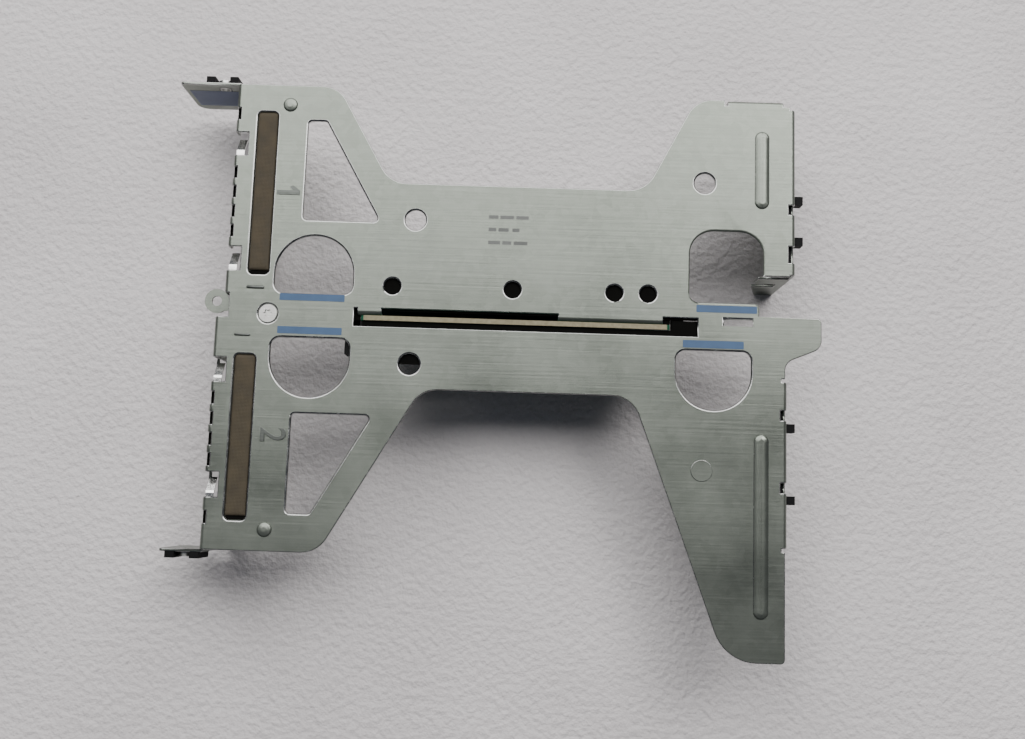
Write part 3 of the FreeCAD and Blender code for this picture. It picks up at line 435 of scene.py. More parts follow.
ZINC = zinc_sheet()
show("tongue_bracket", ZINC)
print("zinc sheet ready")

# %% [markdown]
# ## Pressed edges
# A punch leaves no sharp edge: the sheet is drawn over a little on one side and breaks off on the other. The
# packed cage has sharp edges, so a copy of its mesh, with the flat triangles merged into whole faces, gets a
# bevel along every outer edge, widest round the holes. The bevels are burnished, so they draw a bright line
# on the side of the light and a dark one on the other sides. The cut faces below them are bare steel made
# near black, partly for the bare steel's own darker tone and partly as painted shade on the cut edges.
# Weighted normals keep the large faces flat. The pressed ribs and dimples are flat-topped in the packed
# model. Here their tops are inset twice and bent into a dome, which stays below the imported height.

# %% Domes, rims and cut faces
HOLE_SHARE = 1.0
EDGE_SHARE = 0.5
MARK_SHARE = 0.2
MERGE_DISTANCE = 0.001 * MM
SHARP_ANGLE = math.radians(50)
# a face is upright if its normal rises by less than this
UPRIGHT_LIMIT = 0.1
MARK_TOP = cad_box[1].z
DOME_INSET = 0.55 * MM
# share of the mark's height at the old rim, after the first inset and after the second
DOME_LEVELS = (0.62, 0.88, 0.98)
# places of the two steels in the sheet's list of materials, after the zinc
BURNISHED = 1
BARE_AND_SHADE = 2


def lies_between(item, low, high):
    """Whether an edge or a face lies between two levels."""
    levels = [vertex.co.z for vertex in item.verts]
    return min(levels) > low - MERGE_DISTANCE and max(levels) < high + MERGE_DISTANCE


def dome_marks(work):
    """Turns the flat top of every rib and dimple into a dome."""
    tops = [face for face in work.faces if lies_between(face, MARK_TOP, MARK_TOP)]
    rise = MARK_TOP - PLATE_TOP
    for face in tops:
        for number, share in enumerate(DOME_LEVELS):
            for vertex in face.verts:
                vertex.co.z = PLATE_TOP + rise * share
            if number < len(DOME_LEVELS) - 1:
                bmesh.ops.inset_region(work, faces=[face], thickness=DOME_INSET, use_even_offset=True)
    print("domed marks:", len(tops))


def closed_rims(edges):
    """The edges of every hole whose whole rim lies in the plate's top."""
    around = {}
    for edge in edges:
        for vertex in edge.verts:
            around.setdefault(vertex, []).append(edge)
    rims, seen = set(), set()
    for edge in edges:
        rim, queue = set(), [edge]
        while queue and edge not in seen:
            item = queue.pop()
            if item not in rim:
                rim.add(item)
                queue += [other for vertex in item.verts for other in around[vertex]]
        seen |= rim
        if all(len(around[vertex]) == 2 for item in rim for vertex in item.verts):
            rims |= rim
    return rims


def weigh_edges(work):
    """Marks how wide a bevel each outer edge gets."""
    weights = work.edges.layers.float.new("bevel_weight_edge")
    outer = [edge for edge in work.edges if len(edge.link_faces) == 2 and edge.is_convex]
    outer = [edge for edge in outer if edge.calc_face_angle() > SHARP_ANGLE]
    rims = closed_rims([edge for edge in outer if lies_between(edge, PLATE_TOP, PLATE_TOP)])
    for edge in outer:
        if edge in rims:
            edge[weights] = HOLE_SHARE
        elif min(end.co.z for end in edge.verts) > PLATE_TOP + MERGE_DISTANCE:
            edge[weights] = MARK_SHARE
        else:
            edge[weights] = EDGE_SHARE
    print("edges of whole rims:", len(rims), "of", len(outer))


def shade_bare_cut_faces(work):
    """Gives the plate's cut faces a near-black bare steel, partly its own tone and partly painted shade."""
    for face in work.faces:
        if abs(face.normal.z) < UPRIGHT_LIMIT and lies_between(face, PLATE_LOW, PLATE_TOP):
            face.material_index = BARE_AND_SHADE


print("marks rise", round((MARK_TOP - PLATE_TOP) / MM, 2), "mm above the plate")

# %% Folded sheet
EDGE_WIDTH = 0.65 * MM
EDGE_SEGMENTS = 3
FLAT_ANGLE = math.radians(0.5)
FLAT_WEIGHT = 100
BURNISHED_TONES = ((0.32, 0.325, 0.315), (0.44, 0.445, 0.435))
# near black: partly the bare steel's own darker tone, partly painted shade on the cut faces
BARE_AND_SHADE_TONES = ((0.03, 0.031, 0.029), (0.06, 0.061, 0.058))
STEEL_SCALES = (300.0, 6000.0)
STEEL_GRAIN = 0.008 * MM


def build_sheet(work):
    """A merged copy of the cage that is ready for its bevels."""
    node = nodes["cage_frame"]
    work.from_mesh(node.data)
    work.transform(node.matrix_world)
    bmesh.ops.remove_doubles(work, verts=work.verts, dist=MERGE_DISTANCE)
    bmesh.ops.dissolve_limit(work, angle_limit=FLAT_ANGLE, verts=work.verts, edges=work.edges)
    bmesh.ops.recalc_face_normals(work, faces=work.faces)
    dome_marks(work)
    weigh_edges(work)
    shade_bare_cut_faces(work)


def press_edges(piece):
    bevel = piece.modifiers.new("pressed_edges", "BEVEL")
    bevel.width = EDGE_WIDTH
    bevel.segments = EDGE_SEGMENTS
    bevel.limit_method = "WEIGHT"
    bevel.use_clamp_overlap = False
    bevel.material = BURNISHED
    normals = piece.modifiers.new("flat_faces", "WEIGHTED_NORMAL")
    normals.weight = FLAT_WEIGHT


def worn_steel(name, tones, gloss):
    return two_tone_finish(name, tones, gloss, STEEL_SCALES, STEEL_GRAIN, metallic=1.0)


sheet = finish_piece("folded_sheet", mesh_from("folded_sheet", build_sheet), ZINC)
sheet.data.materials.append(worn_steel("burnished_edge", BURNISHED_TONES, gloss=(0.18, 0.3)))
sheet.data.materials.append(worn_steel("bare_steel_and_shade", BARE_AND_SHADE_TONES, gloss=(0.4, 0.6)))
press_edges(sheet)
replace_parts(sheet, "cage_frame")

# %% [markdown]
# ## Black mouldings
# The connectors, card guides and clips are glass-filled plastic: near black, with a fine spark-eroded grain
# and a dull gloss that changes where the mould was polished. One flat black would hide their ribs and
# grooves. The film under the plate is flatter still, so it gets the lowest shine of all.

# %% Black mouldings
MOULDING_TONES = ((0.003, 0.003, 0.0035), (0.009, 0.009, 0.0095))
MOULDING_GLOSS = (0.5, 0.7)
MOULDING_SHINE = 0.12
MOULDING_GRAIN = 0.04 * MM
FILM_TONES = ((0.0015, 0.0015, 0.0012), (0.004, 0.004, 0.0035))
FILM_GLOSS = (0.8, 0.95)
FILM_SHINE = 0.08
FILM_GRAIN = 0.02 * MM
MOULDED_SCALES = (130.0, 4200.0)

MOULDING = two_tone_finish(
    "black_moulding", MOULDING_TONES, MOULDING_GLOSS, MOULDED_SCALES, MOULDING_GRAIN, shine=MOULDING_SHINE
)
# the black film finish also colours the sheets of painted shade at the gasket ends, slot ends and rear folds
FILM_AND_SHADE = two_tone_finish(
    "black_film_and_shade", FILM_TONES, FILM_GLOSS, MOULDED_SCALES, FILM_GRAIN, shine=FILM_SHINE
)
show(("slot_connector", "card_guide", "retainer_clip"), MOULDING)
show("insulator_film", FILM_AND_SHADE)
print("black mouldings and films")

# %% [markdown]
# ## Bright metal
# Springs, nuts and screws are plated. They share the rolling streaks of the sheet, but are smoother, so they
# catch the light as small bright lines. The contacts are gold-plated.

# %% Bright metal
BRIGHT_GRAIN = 0.006 * MM
SPRING_TONES = ((0.72, 0.72, 0.70), (0.86, 0.86, 0.84))
PLATED_TONES = ((0.46, 0.46, 0.44), (0.62, 0.62, 0.60))
GOLD_TONES = ((0.72, 0.50, 0.18), (0.88, 0.66, 0.30))


def bright_metal(name, tones, gloss):
    material, tree, shader = new_material(name, metallic=1.0)
    patches = place_group(
        tree, UNEVEN, patch_scale=600.0, grain_scale=9000.0, smoothest=gloss[0], roughest=gloss[1]
    )
    rolled = place_group(tree, STREAKS, streak_scale=4000.0, crystal_scale=900.0)
    tree.links.new(mix_colours(tree, rolled["Streaks"], *tones), shader.inputs["Base Color"])
    tree.links.new(patches["Roughness"], shader.inputs["Roughness"])
    add_bump(tree, shader, patches["Grain"], BRIGHT_GRAIN)
    return material


SPRING = bright_metal("spring_strip", SPRING_TONES, gloss=(0.14, 0.28))
PLATED = bright_metal("plated_steel", PLATED_TONES, gloss=(0.24, 0.42))
GOLD = bright_metal("gold_plate", GOLD_TONES, gloss=(0.18, 0.32))
show("bracket_spring", SPRING)
show("ledge_nut", PLATED)
show("slot_contacts", GOLD)
print("bright metal on springs, nuts and contacts")

# %% [markdown]
# ## Circuit board
# The board is green solder mask over copper lines, with a tan glass-fibre core that only shows at its cut
# edges. The cut edges are found by height and length on Object coordinates. The copper lines are a brick
# pattern, stretched so that its long joints run up the board, which reads as close parallel traces.

# %% Circuit board
CORE_TAN = (0.20, 0.172, 0.098)
CORE_PALE = (0.29, 0.252, 0.155)
MASK_GREEN = (0.012, 0.085, 0.045)
TRACE_GREEN = (0.03, 0.16, 0.085)
TRACE_WIDTH = 0.16 * MM
TRACE_LENGTH = 11.0 * MM
TRACE_PITCH = 1.1 * MM
# how far each row of traces is shifted against the next, as a share of a trace
TRACE_SHIFT = 0.37
TRACE_TURN = (math.radians(90), math.radians(90), 0)
EDGE_DEPTH = 0.06 * MM
BOARD_GRAIN = 0.008 * MM
CHIP_TONES = ((0.20, 0.13, 0.07), (0.34, 0.24, 0.14))
CHIP_GLOSS = (0.4, 0.55)
CHIP_GRAIN = 0.01 * MM


def board_face(tree, place):
    traces = add_node(tree, "ShaderNodeTexBrick", offset=TRACE_SHIFT)
    traces.inputs["Scale"].default_value = 1.0
    traces.inputs["Mortar Size"].default_value = TRACE_WIDTH
    traces.inputs["Brick Width"].default_value = TRACE_LENGTH
    traces.inputs["Row Height"].default_value = TRACE_PITCH
    tree.links.new(map_place(tree, place, "Rotation", TRACE_TURN), traces.inputs["Vector"])
    return mix_colours(tree, traces.outputs["Fac"], MASK_GREEN, TRACE_GREEN)


def circuit_board():
    material, tree, shader = new_material("circuit_board")
    place = object_place(tree)
    axes = add_node(tree, "ShaderNodeSeparateXYZ")
    tree.links.new(place, axes.inputs["Vector"])
    patches = place_group(
        tree, UNEVEN, patch_scale=900.0, grain_scale=7000.0, smoothest=0.3, roughest=0.45
    )
    core = mix_colours(tree, patches["Tone"], CORE_TAN, CORE_PALE)
    top = add_math(tree, "GREATER_THAN", axes.outputs["Z"], BOARD_HIGH.z - EDGE_DEPTH)
    rear = add_math(tree, "LESS_THAN", axes.outputs["X"], BOARD_LOW.x + EDGE_DEPTH)
    front = add_math(tree, "GREATER_THAN", axes.outputs["X"], BOARD_HIGH.x - EDGE_DEPTH)
    edges = add_math(tree, "MAXIMUM", top, add_math(tree, "MAXIMUM", rear, front))
    colour = mix_colours(tree, edges, board_face(tree, place), core)
    tree.links.new(colour, shader.inputs["Base Color"])
    tree.links.new(patches["Roughness"], shader.inputs["Roughness"])
    add_bump(tree, shader, patches["Grain"], BOARD_GRAIN)
    return material


show("riser_board", circuit_board())
CHIP = two_tone_finish("fired_chip", CHIP_TONES, CHIP_GLOSS, MOULDED_SCALES, CHIP_GRAIN)
show("board_capacitors", CHIP)
print("board finished, tan above", round((BOARD_HIGH.z - EDGE_DEPTH) / MM, 2), "mm")

# %% [markdown]
# ## Rows of contacts
# The board's foot carries a row of gold contacts on each face, before and after its key, and every chip has
# two tinned ends. All of these are rows of equal small blocks, so one Geometry Nodes tree makes them: a line
# of points, a block on each, then real geometry and a material, because the export has no use for instances.

# %% Tree for a row of blocks


def row_tree():
    tree = bpy.data.node_groups.new("row_of_blocks", "GeometryNodeTree")
    sockets = tree.interface
    sockets.new_socket("Count", in_out="INPUT", socket_type="NodeSocketInt")
    for label in ("Start", "Step", "Block"):
        sockets.new_socket(label, in_out="INPUT", socket_type="NodeSocketVector")
    sockets.new_socket("Finish", in_out="INPUT", socket_type="NodeSocketMaterial")
    sockets.new_socket("Geometry", in_out="OUTPUT", socket_type="NodeSocketGeometry")
    entry = add_node(tree, "NodeGroupInput")
    line = add_node(tree, "GeometryNodeMeshLine", mode="OFFSET")
    block = add_node(tree, "GeometryNodeMeshCube")
    copies = add_node(tree, "GeometryNodeInstanceOnPoints")
    real = add_node(tree, "GeometryNodeRealizeInstances")
    finish = add_node(tree, "GeometryNodeSetMaterial")
    result = add_node(tree, "NodeGroupOutput")
    joins = [
        (entry.outputs["Count"], line.inputs["Count"]),
        (entry.outputs["Start"], line.inputs["Start Location"]),
        (entry.outputs["Step"], line.inputs["Offset"]),
        (entry.outputs["Block"], block.inputs["Size"]),
        (line.outputs["Mesh"], copies.inputs["Points"]),
        (block.outputs["Mesh"], copies.inputs["Instance"]),
        (copies.outputs["Instances"], real.inputs["Geometry"]),
        (real.outputs["Geometry"], finish.inputs["Geometry"]),
        (entry.outputs["Finish"], finish.inputs["Material"]),
        (finish.outputs["Geometry"], result.inputs["Geometry"]),
    ]
    for source, target in joins:
        tree.links.new(source, target)
    return tree


ROW = row_tree()


def row_mesh(count, start, step, block, material):
    """The plain mesh that the tree gives for one row."""
    carrier = bpy.data.objects.new("row_carrier", bpy.data.meshes.new("row_carrier"))
    bpy.context.scene.collection.objects.link(carrier)
    modifier = carrier.modifiers.new("row", "NODES")
    modifier.node_group = ROW
    values = {"Count": count, "Start": start, "Step": step, "Block": block, "Finish": material}
    for item in ROW.interface.items_tree:
        if item.in_out == "INPUT":
            modifier[item.identifier] = values[item.name]
    evaluated = carrier.evaluated_get(bpy.context.evaluated_depsgraph_get())
    mesh = bpy.data.meshes.new_from_object(evaluated)
    carrier.modifiers.remove(modifier)
    bpy.data.objects.remove(carrier)
    return mesh


def join_meshes(name, meshes):
    work = bmesh.new()
    for mesh in meshes:
        work.from_mesh(mesh)
    joined = bpy.data.meshes.new(name)
    work.to_mesh(joined)
    work.free()
    return joined


print("tree:", ROW.name)

# %% Edge contacts
TONGUE_START = BOARD_LOW.x + 14.0 * MM
KEY_START = TONGUE_START + 22.0 * MM
KEY_WIDTH = 1.9 * MM
TONGUE_END = TONGUE_START + 74.0 * MM
CONTACT_PITCH = 1.0 * MM
CONTACT_SIZE = Vector((0.7, 0.06, 5.6)) * MM
CONTACT_MIDDLE = BOARD_LOW.z + 3.9 * MM
CONTACT_MARGIN = 1.2 * MM


def edge_contacts():
    meshes = []
    for face in (BOARD_LOW.y, BOARD_HIGH.y):
        for start, end in ((TONGUE_START, KEY_START), (KEY_START + KEY_WIDTH, TONGUE_END)):
            first = Vector((start + CONTACT_MARGIN, face, CONTACT_MIDDLE))
            count = int((end - start - 2 * CONTACT_MARGIN) / CONTACT_PITCH) + 1
            step = Vector((CONTACT_PITCH, 0, 0))
            meshes.append(row_mesh(count, first, step, CONTACT_SIZE, GOLD))
    return join_meshes("edge_contacts", meshes)


finish_piece("edge_contacts", edge_contacts(), GOLD)

# %% Chip ends
CHIP_LOW, CHIP_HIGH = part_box("board_capacitors")
CHIP_COUNT = 15
CHIP_LENGTH = 1.6 * MM
CHIP_CAP = 0.35 * MM
CAP_LIP = 0.03 * MM


def chip_ends():
    pitch = (CHIP_HIGH.x - CHIP_LOW.x - CHIP_LENGTH) / (CHIP_COUNT - 1)
    middle = (CHIP_LOW + CHIP_HIGH) / 2
    size = Vector((CHIP_CAP, CHIP_HIGH.y - CHIP_LOW.y + CAP_LIP, CHIP_HIGH.z - CHIP_LOW.z + CAP_LIP))
    meshes = []
    for end in (CHIP_CAP / 2, CHIP_LENGTH - CHIP_CAP / 2):
        first = Vector((CHIP_LOW.x + end, middle.y, middle.z))
        meshes.append(row_mesh(CHIP_COUNT, first, Vector((pitch, 0, 0)), size, PLATED))
    return join_meshes("chip_ends", meshes)


finish_piece("chip_ends", chip_ends(), PLATED)

# %% [markdown]
# ## Screws with a six-lobed recess
# The model's screws are plain cylinders. A real one has a head with a softened rim, a recess for a six-lobed
# driver and a rolled thread. The same profile, turned round an axis, makes them all: the recess is a wavy
# circle, and the thread is a radius that rises and falls as it climbs.

# %% Screw mesh
SCREW_STEPS = 48
LOBES = 6
LOBE_DEPTH = 0.16
RECESS_TAPER = 0.86
# the softened rim as a share of the head's height, and its middle ring as shares of the rim
HEAD_RIM = 0.16
RIM_DOWN = 0.4
RIM_IN = 0.25
THREAD_STEPS = 5
THREAD_ROOT = 0.86
POINT_SHARE = 0.9


def wavy(radius, angle):
    return radius * (1 + LOBE_DEPTH * math.cos(LOBES * angle))


def screw_ring(work, level, radius):
    ring = []
    for step in range(SCREW_STEPS):
        angle = 2 * math.pi * step / SCREW_STEPS
        reach = radius(angle) if callable(radius) else radius
        ring.append(work.verts.new((reach * math.cos(angle), reach * math.sin(angle), level)))
    return ring


def build_screw(work, head_radius, head_height, shank_radius, shank_length, recess, recess_depth, pitch):
    """A screw whose head's face is at z = 0 and whose point is at -Z."""
    rim = HEAD_RIM * head_height
    rings = [
        screw_ring(work, -recess_depth, lambda angle: wavy(recess * RECESS_TAPER, angle)),
        screw_ring(work, 0, lambda angle: wavy(recess, angle)),
        screw_ring(work, 0, head_radius - rim),
        screw_ring(work, -rim * RIM_DOWN, head_radius - rim * RIM_IN),
        screw_ring(work, -rim, head_radius),
        screw_ring(work, -head_height, head_radius),
        screw_ring(work, -head_height, shank_radius),
    ]
    turns = int(shank_length / pitch)
    root = THREAD_ROOT * shank_radius
    for step in range(1, turns * THREAD_STEPS):
        level = -head_height - step * shank_length / (turns * THREAD_STEPS)

        def thread(angle, level=level):
            wave = 0.5 + 0.5 * math.cos(2 * math.pi * level / pitch + angle)
            return root + (shank_radius - root) * wave

        rings.append(screw_ring(work, level, thread))
    rings.append(screw_ring(work, -head_height - shank_length, root * POINT_SHARE))
    for lower, upper in zip(rings, rings[1:]):
        bridge(work, lower, upper)
    work.faces.new(rings[0])
    work.faces.new(rings[-1])


def screw_mesh(name, places, turn, **sizes):
    """The same screw at one or more places."""
    meshes = []
    for place in places:
        mesh = mesh_from(name, lambda work: build_screw(work, **sizes), smooth=False)
        mesh.transform(Matrix.Translation(place) @ turn)
        meshes.append(mesh)
    return join_meshes(name, meshes)


print("screws have", LOBES, "lobes")

# %% Flush screw and board screws
flush_low, flush_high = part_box("tongue_screw")
flush_place = Vector(((flush_low.x + flush_high.x) / 2, (flush_low.y + flush_high.y) / 2, PLATE_TOP))
flush = screw_mesh(
    "flush_screw", [flush_place], Matrix.Identity(4),
    head_radius=(flush_high.x - flush_low.x) / 2, head_height=0.6 * MM,
    shank_radius=1.45 * MM, shank_length=3.4 * MM, recess=1.25 * MM, recess_depth=0.5 * MM, pitch=0.5 * MM,
)
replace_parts(finish_piece("flush_screw", flush, PLATED), "tongue_screw")

cross_low, cross_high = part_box("board_screws")
CROSS_HEAD = (cross_high.z - cross_low.z) / 2
CROSS_LEVEL = (cross_high.z + cross_low.z) / 2
cross_ends = (cross_low.x + CROSS_HEAD, cross_high.x - CROSS_HEAD)
cross = screw_mesh(
    "cross_screws", [Vector((x, cross_low.y, CROSS_LEVEL)) for x in cross_ends],
    Matrix.Rotation(math.radians(90), 4, "X"),
    head_radius=CROSS_HEAD, head_height=1.5 * MM,
    shank_radius=1.2 * MM, shank_length=4.2 * MM, recess=0.95 * MM, recess_depth=0.8 * MM, pitch=0.45 * MM,
)
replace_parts(finish_piece("cross_screws", cross, PLATED), "board_screws")

# %% [markdown]
# ## Gaskets
# Two strips of brown conductive cloth lie in shallow recesses beside the rear wall. They are soft, so their
# edges are rolled and their faces are a little uneven. A grid that bulges in the middle and dips at its rim
# replaces each flat strip. The cloth is a fine weave of two crossing waves, with paler and darker blotches.

# %% Gasket cloth
CLOTH_DARK = (0.046, 0.036, 0.021)
CLOTH_LIGHT = (0.082, 0.066, 0.041)
THREAD_PITCH = 0.45 * MM
THREAD_WOBBLE = 0.6
# the length of one band of a Wave texture at scale 1
WAVE_LENGTH = 0.314
WEAVE_SHADE = 0.35
WEAVE_SPAN = (0.2, 0.9)
WEAVE_DEPTH = 0.06 * MM


def gasket_cloth():
    material, tree, shader = new_material("gasket_cloth")
    place = object_place(tree)
    waves = []
    for direction in ("X", "Y"):
        wave = add_node(tree, "ShaderNodeTexWave", bands_direction=direction)
        wave.inputs["Scale"].default_value = WAVE_LENGTH / THREAD_PITCH
        wave.inputs["Distortion"].default_value = THREAD_WOBBLE
        tree.links.new(place, wave.inputs["Vector"])
        waves.append(wave.outputs["Fac"])
    weave = add_math(tree, "MAXIMUM", waves[0], waves[1])
    patches = place_group(
        tree, UNEVEN, patch_scale=210.0, grain_scale=6000.0, smoothest=0.72, roughest=0.92
    )
    blotches = mix_colours(tree, patches["Tone"], CLOTH_DARK, CLOTH_LIGHT)
    shade = add_range(tree, weave, WEAVE_SHADE, 0.0, WEAVE_SPAN)
    tree.links.new(mix_colours(tree, shade, blotches, CLOTH_DARK), shader.inputs["Base Color"])
    tree.links.new(patches["Roughness"], shader.inputs["Roughness"])
    add_bump(tree, shader, weave, WEAVE_DEPTH)
    return material


CLOTH = gasket_cloth()
print("cloth has a thread every", round(THREAD_PITCH / MM, 2), "mm")

# %% Gasket strips
GASKETS = {word: f"gasket_strip_{word}" for word in ("upper", "lower")}
GASKET_ACROSS = 16
GASKET_ALONG = 96
GASKET_SHORT = 1.3 * MM
# shares of the strip's height at its rim and at its crown
GASKET_EDGE = 0.45
GASKET_CROWN = 0.95
# a higher power keeps the crown flat nearer to the rim
CROWN_ACROSS = 6
CROWN_ALONG = 60
RIPPLE_HEIGHT = 0.05
RIPPLE_SLOW = 9
RIPPLE_LEAN = 2
RIPPLE_QUICK = 23
# height of the black sheet of painted shade at each strip's short end
END_SHADE_RISE = 0.12 * MM


def gasket_level(u, v):
    """Share of the strip's height at a point; u runs across and v along, both from -1 to 1."""
    crown = (1 - abs(u) ** CROWN_ACROSS) * (1 - abs(v) ** CROWN_ALONG)
    ripple = RIPPLE_HEIGHT * math.sin(RIPPLE_SLOW * v + RIPPLE_LEAN * u) * math.sin(RIPPLE_QUICK * v)
    return GASKET_EDGE + (GASKET_CROWN - GASKET_EDGE + ripple) * crown


def build_strip(work, low, size):
    top = []
    base = []
    for row in range(GASKET_ALONG + 1):
        v = row / GASKET_ALONG * 2 - 1
        for column in range(GASKET_ACROSS + 1):
            u = column / GASKET_ACROSS * 2 - 1
            x = low.x + size.x * (u + 1) / 2
            y = low.y + size.y * (v + 1) / 2
            top.append(work.verts.new((x, y, low.z + size.z * gasket_level(u, v))))
            base.append(work.verts.new((x, y, low.z)))
    wide = GASKET_ACROSS + 1
    for row in range(GASKET_ALONG):
        for column in range(GASKET_ACROSS):
            first = row * wide + column
            loop = (first, first + 1, first + 1 + wide, first + wide)
            work.faces.new([top[index] for index in loop])
            work.faces.new([base[index] for index in reversed(loop)])
    last = GASKET_ALONG * wide
    rim = list(range(wide))
    rim += [row * wide + wide - 1 for row in range(1, GASKET_ALONG + 1)]
    rim += [last + column for column in reversed(range(wide - 1))]
    rim += [row * wide for row in reversed(range(1, GASKET_ALONG))]
    bridge(work, [base[index] for index in rim], [top[index] for index in rim])


def gasket_mesh(node):
    low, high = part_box(node)
    low.y += GASKET_SHORT
    return mesh_from(f"{node}_cloth", lambda work: build_strip(work, low, high - low))


def build_gasket_end_shade(work):
    """A sheet of black film at each strip's short end, as painted shade for the dark gap that the cloth
    leaves there.
    """
    for node in GASKETS.values():
        low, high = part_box(node)
        shade_film_field(work, (low.x, low.y), (high.x, low.y + GASKET_SHORT), low.z, END_SHADE_RISE)


# black film at the gaskets' short ends stands in for the shade in the gap there
flat_piece("gasket_end_shade", build_gasket_end_shade, FILM_AND_SHADE)
for word, node in GASKETS.items():
    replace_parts(finish_piece(f"gasket_cloth_{word}", gasket_mesh(node), CLOTH), node)

# %% [markdown]
# ## Slot ends
# Between the board's ends and the ends of its slot one would look straight down to the floor. These gaps are
# dark with the shade under the plate, so small flaps of black film close them as painted shade.

# %% Slot-end shade flaps
# black film sheets under the slot's ends, as painted shade for the dark gaps
SHADE_FLAP_LEVEL = PLATE_LOW - 0.55 * MM
SHADE_FLAP_THICKNESS = 0.1 * MM
SHADE_FLAP_NEAR = 9.6 * MM
SHADE_FLAP_FAR = 18.0 * MM
SHADE_FLAP_SIDE = 9.0 * MM
SHADE_FLAP_REACH = 4.4 * MM
SHADE_FLAP_GAP = 0.05 * MM


def build_shade_flaps(work):
    shade_flaps = [
        ((BOARD_LOW.x - SHADE_FLAP_REACH, SHADE_FLAP_NEAR), (BOARD_LOW.x - SHADE_FLAP_GAP, SHADE_FLAP_FAR)),
        ((BOARD_HIGH.x + SHADE_FLAP_GAP, SHADE_FLAP_NEAR), (BOARD_HIGH.x + SHADE_FLAP_REACH, SHADE_FLAP_FAR)),
        ((BOARD_HIGH.x - SHADE_FLAP_SIDE, BOARD_HIGH.y + SHADE_FLAP_GAP), (BOARD_HIGH.x, SHADE_FLAP_FAR)),
    ]
    for low, high in shade_flaps:
        shade_film_field(work, low, high, SHADE_FLAP_LEVEL, SHADE_FLAP_THICKNESS)


flat_piece("slot_end_shade_flaps", build_shade_flaps, FILM_AND_SHADE)

# %% [markdown]
# ## Painted shade under the rear folds, and the upper wing's field
# The small notches in the rear folds are dark with the shade inside the cage, so a strip of black film is put
# close under them, between the spring windows, as painted shade. The inner face of the upper wing has a dull
# blue-grey field. The field could be a patch of colour in the zinc's nodes, but a thin piece of its own has
# straight edges and can be left off.

# %% Shade liners and wing field
SHADE_LINER_LEVEL = PLATE_LOW - 1.3 * MM
SHADE_LINER_THICKNESS = 0.3 * MM
# low x, low y, high x, high y of each shade liner, in millimetres
SHADE_LINERS = [
    (-88.1, 36.0, -85.2, 64.8),
    (-88.1, 75.2, -85.2, 88.5),
    (-90.6, -39.8, -87.7, -12.0),
    (-90.6, -61.5, -87.7, -49.2),
]
# low x, low y, high x, high y of the wing's field, in millimetres
WING_FIELD = (-107.0, 91.19, -89.0, 91.25)
WING_LOW = 12.2 * MM
WING_RISE = 13.4 * MM
WING_ROUND = 0.02 * MM
WING_BEVEL = 0.01 * MM
WING_TONES = ((0.15, 0.18, 0.28), (0.21, 0.245, 0.36))
WING_GLOSS = (0.5, 0.65)
WING_GRAIN = 0.01 * MM


def build_shade_liners(work):
    for shade_liner in SHADE_LINERS:
        low, high = field_corners(shade_liner)
        shade_film_field(work, low, high, SHADE_LINER_LEVEL, SHADE_LINER_THICKNESS)


def build_wing_field(work):
    low, high = field_corners(WING_FIELD)
    raised_field(work, low, high, WING_LOW, WING_RISE, WING_ROUND, WING_BEVEL)


BLUE_GREY = two_tone_finish("blue_grey_film", WING_TONES, WING_GLOSS, MOULDED_SCALES, WING_GRAIN)
# black film strips under the rear notches, as painted shade
flat_piece("rear_shade_liners", build_shade_liners, FILM_AND_SHADE)
flat_piece("wing_field", build_wing_field, BLUE_GREY)

# %% [markdown]
# ## Touch marks
# Blue paint beside each finger hole shows where the cage is gripped. Paint on sheet is a film of a few
# hundredths of a millimetre with soft corners. It could be a colour in the zinc's nodes, but then it would
# have no edge to catch the light, so each mark is a thin raised field whose tone varies a little.

# %% Touch paint
PAINT_TONES = ((0.038, 0.09, 0.19), (0.058, 0.12, 0.235))
PAINT_GLOSS = (0.42, 0.6)
PAINT_SCALES = (160.0, 3600.0)
PAINT_GRAIN = 0.02 * MM
PAINT_FILM = 0.05 * MM
PAINT_ROUND = 0.25 * MM
# low x, low y, high x, high y of each mark, in millimetres
TOUCH_MARKS = [
    (-69.75, 17.25, -48.25, 19.55),
    (-69.85, 6.15, -48.65, 8.55),
    (67.55, 17.65, 87.45, 20.05),
    (63.25, 5.75, 83.15, 8.25),
]


def build_marks(work):
    for mark in TOUCH_MARKS:
        low, high = field_corners(mark)
        raised_field(work, low, high, PLATE_TOP, PAINT_FILM, PAINT_ROUND, PAINT_FILM / 2)


PAINT = two_tone_finish("touch_paint", PAINT_TONES, PAINT_GLOSS, PAINT_SCALES, PAINT_GRAIN)
flat_piece("touch_marks", build_marks, PAINT)

# %% [markdown]
# ## Stamped slot numbers and dashes
# Each slot has its plain number stamped beside the gasket, read from the side, and a short stamped dash by
# the tongue. The two is Blender's own text: it becomes a mesh with a bevel, is turned a quarter and laid on
# the plate, so that its rim catches the light like a coined edge. The one needs only a short outline.

# %% Stamped marks
STAMP_RISE = 0.25 * MM
STAMP_TONES = ((0.10, 0.108, 0.10), (0.165, 0.177, 0.165))
TEXT_EXTRUDE = 0.02
TEXT_BEVEL = 0.012
TEXT_BEVEL_STEPS = 2
DASH_BEVEL = 0.8
# corners of the first slot's numeral, in millimetres
SLOT_ONE = [
    (-72.85, 53.05), (-65.15, 53.05), (-65.15, 54.6), (-67.5, 56.25),
    (-68.5, 55.7), (-67.3, 54.5), (-72.85, 54.5),
]
# low x, low y, high x, high y of the second slot's numeral, in millimetres
SLOT_TWO = (-73.25, -29.45, -64.85, -24.85)
# middle x, middle y, length, width of each dash, in millimetres
DASHES = [(-77.95, 21.35, 6.0, 1.2), (-81.25, 5.35, 5.3, 1.0)]


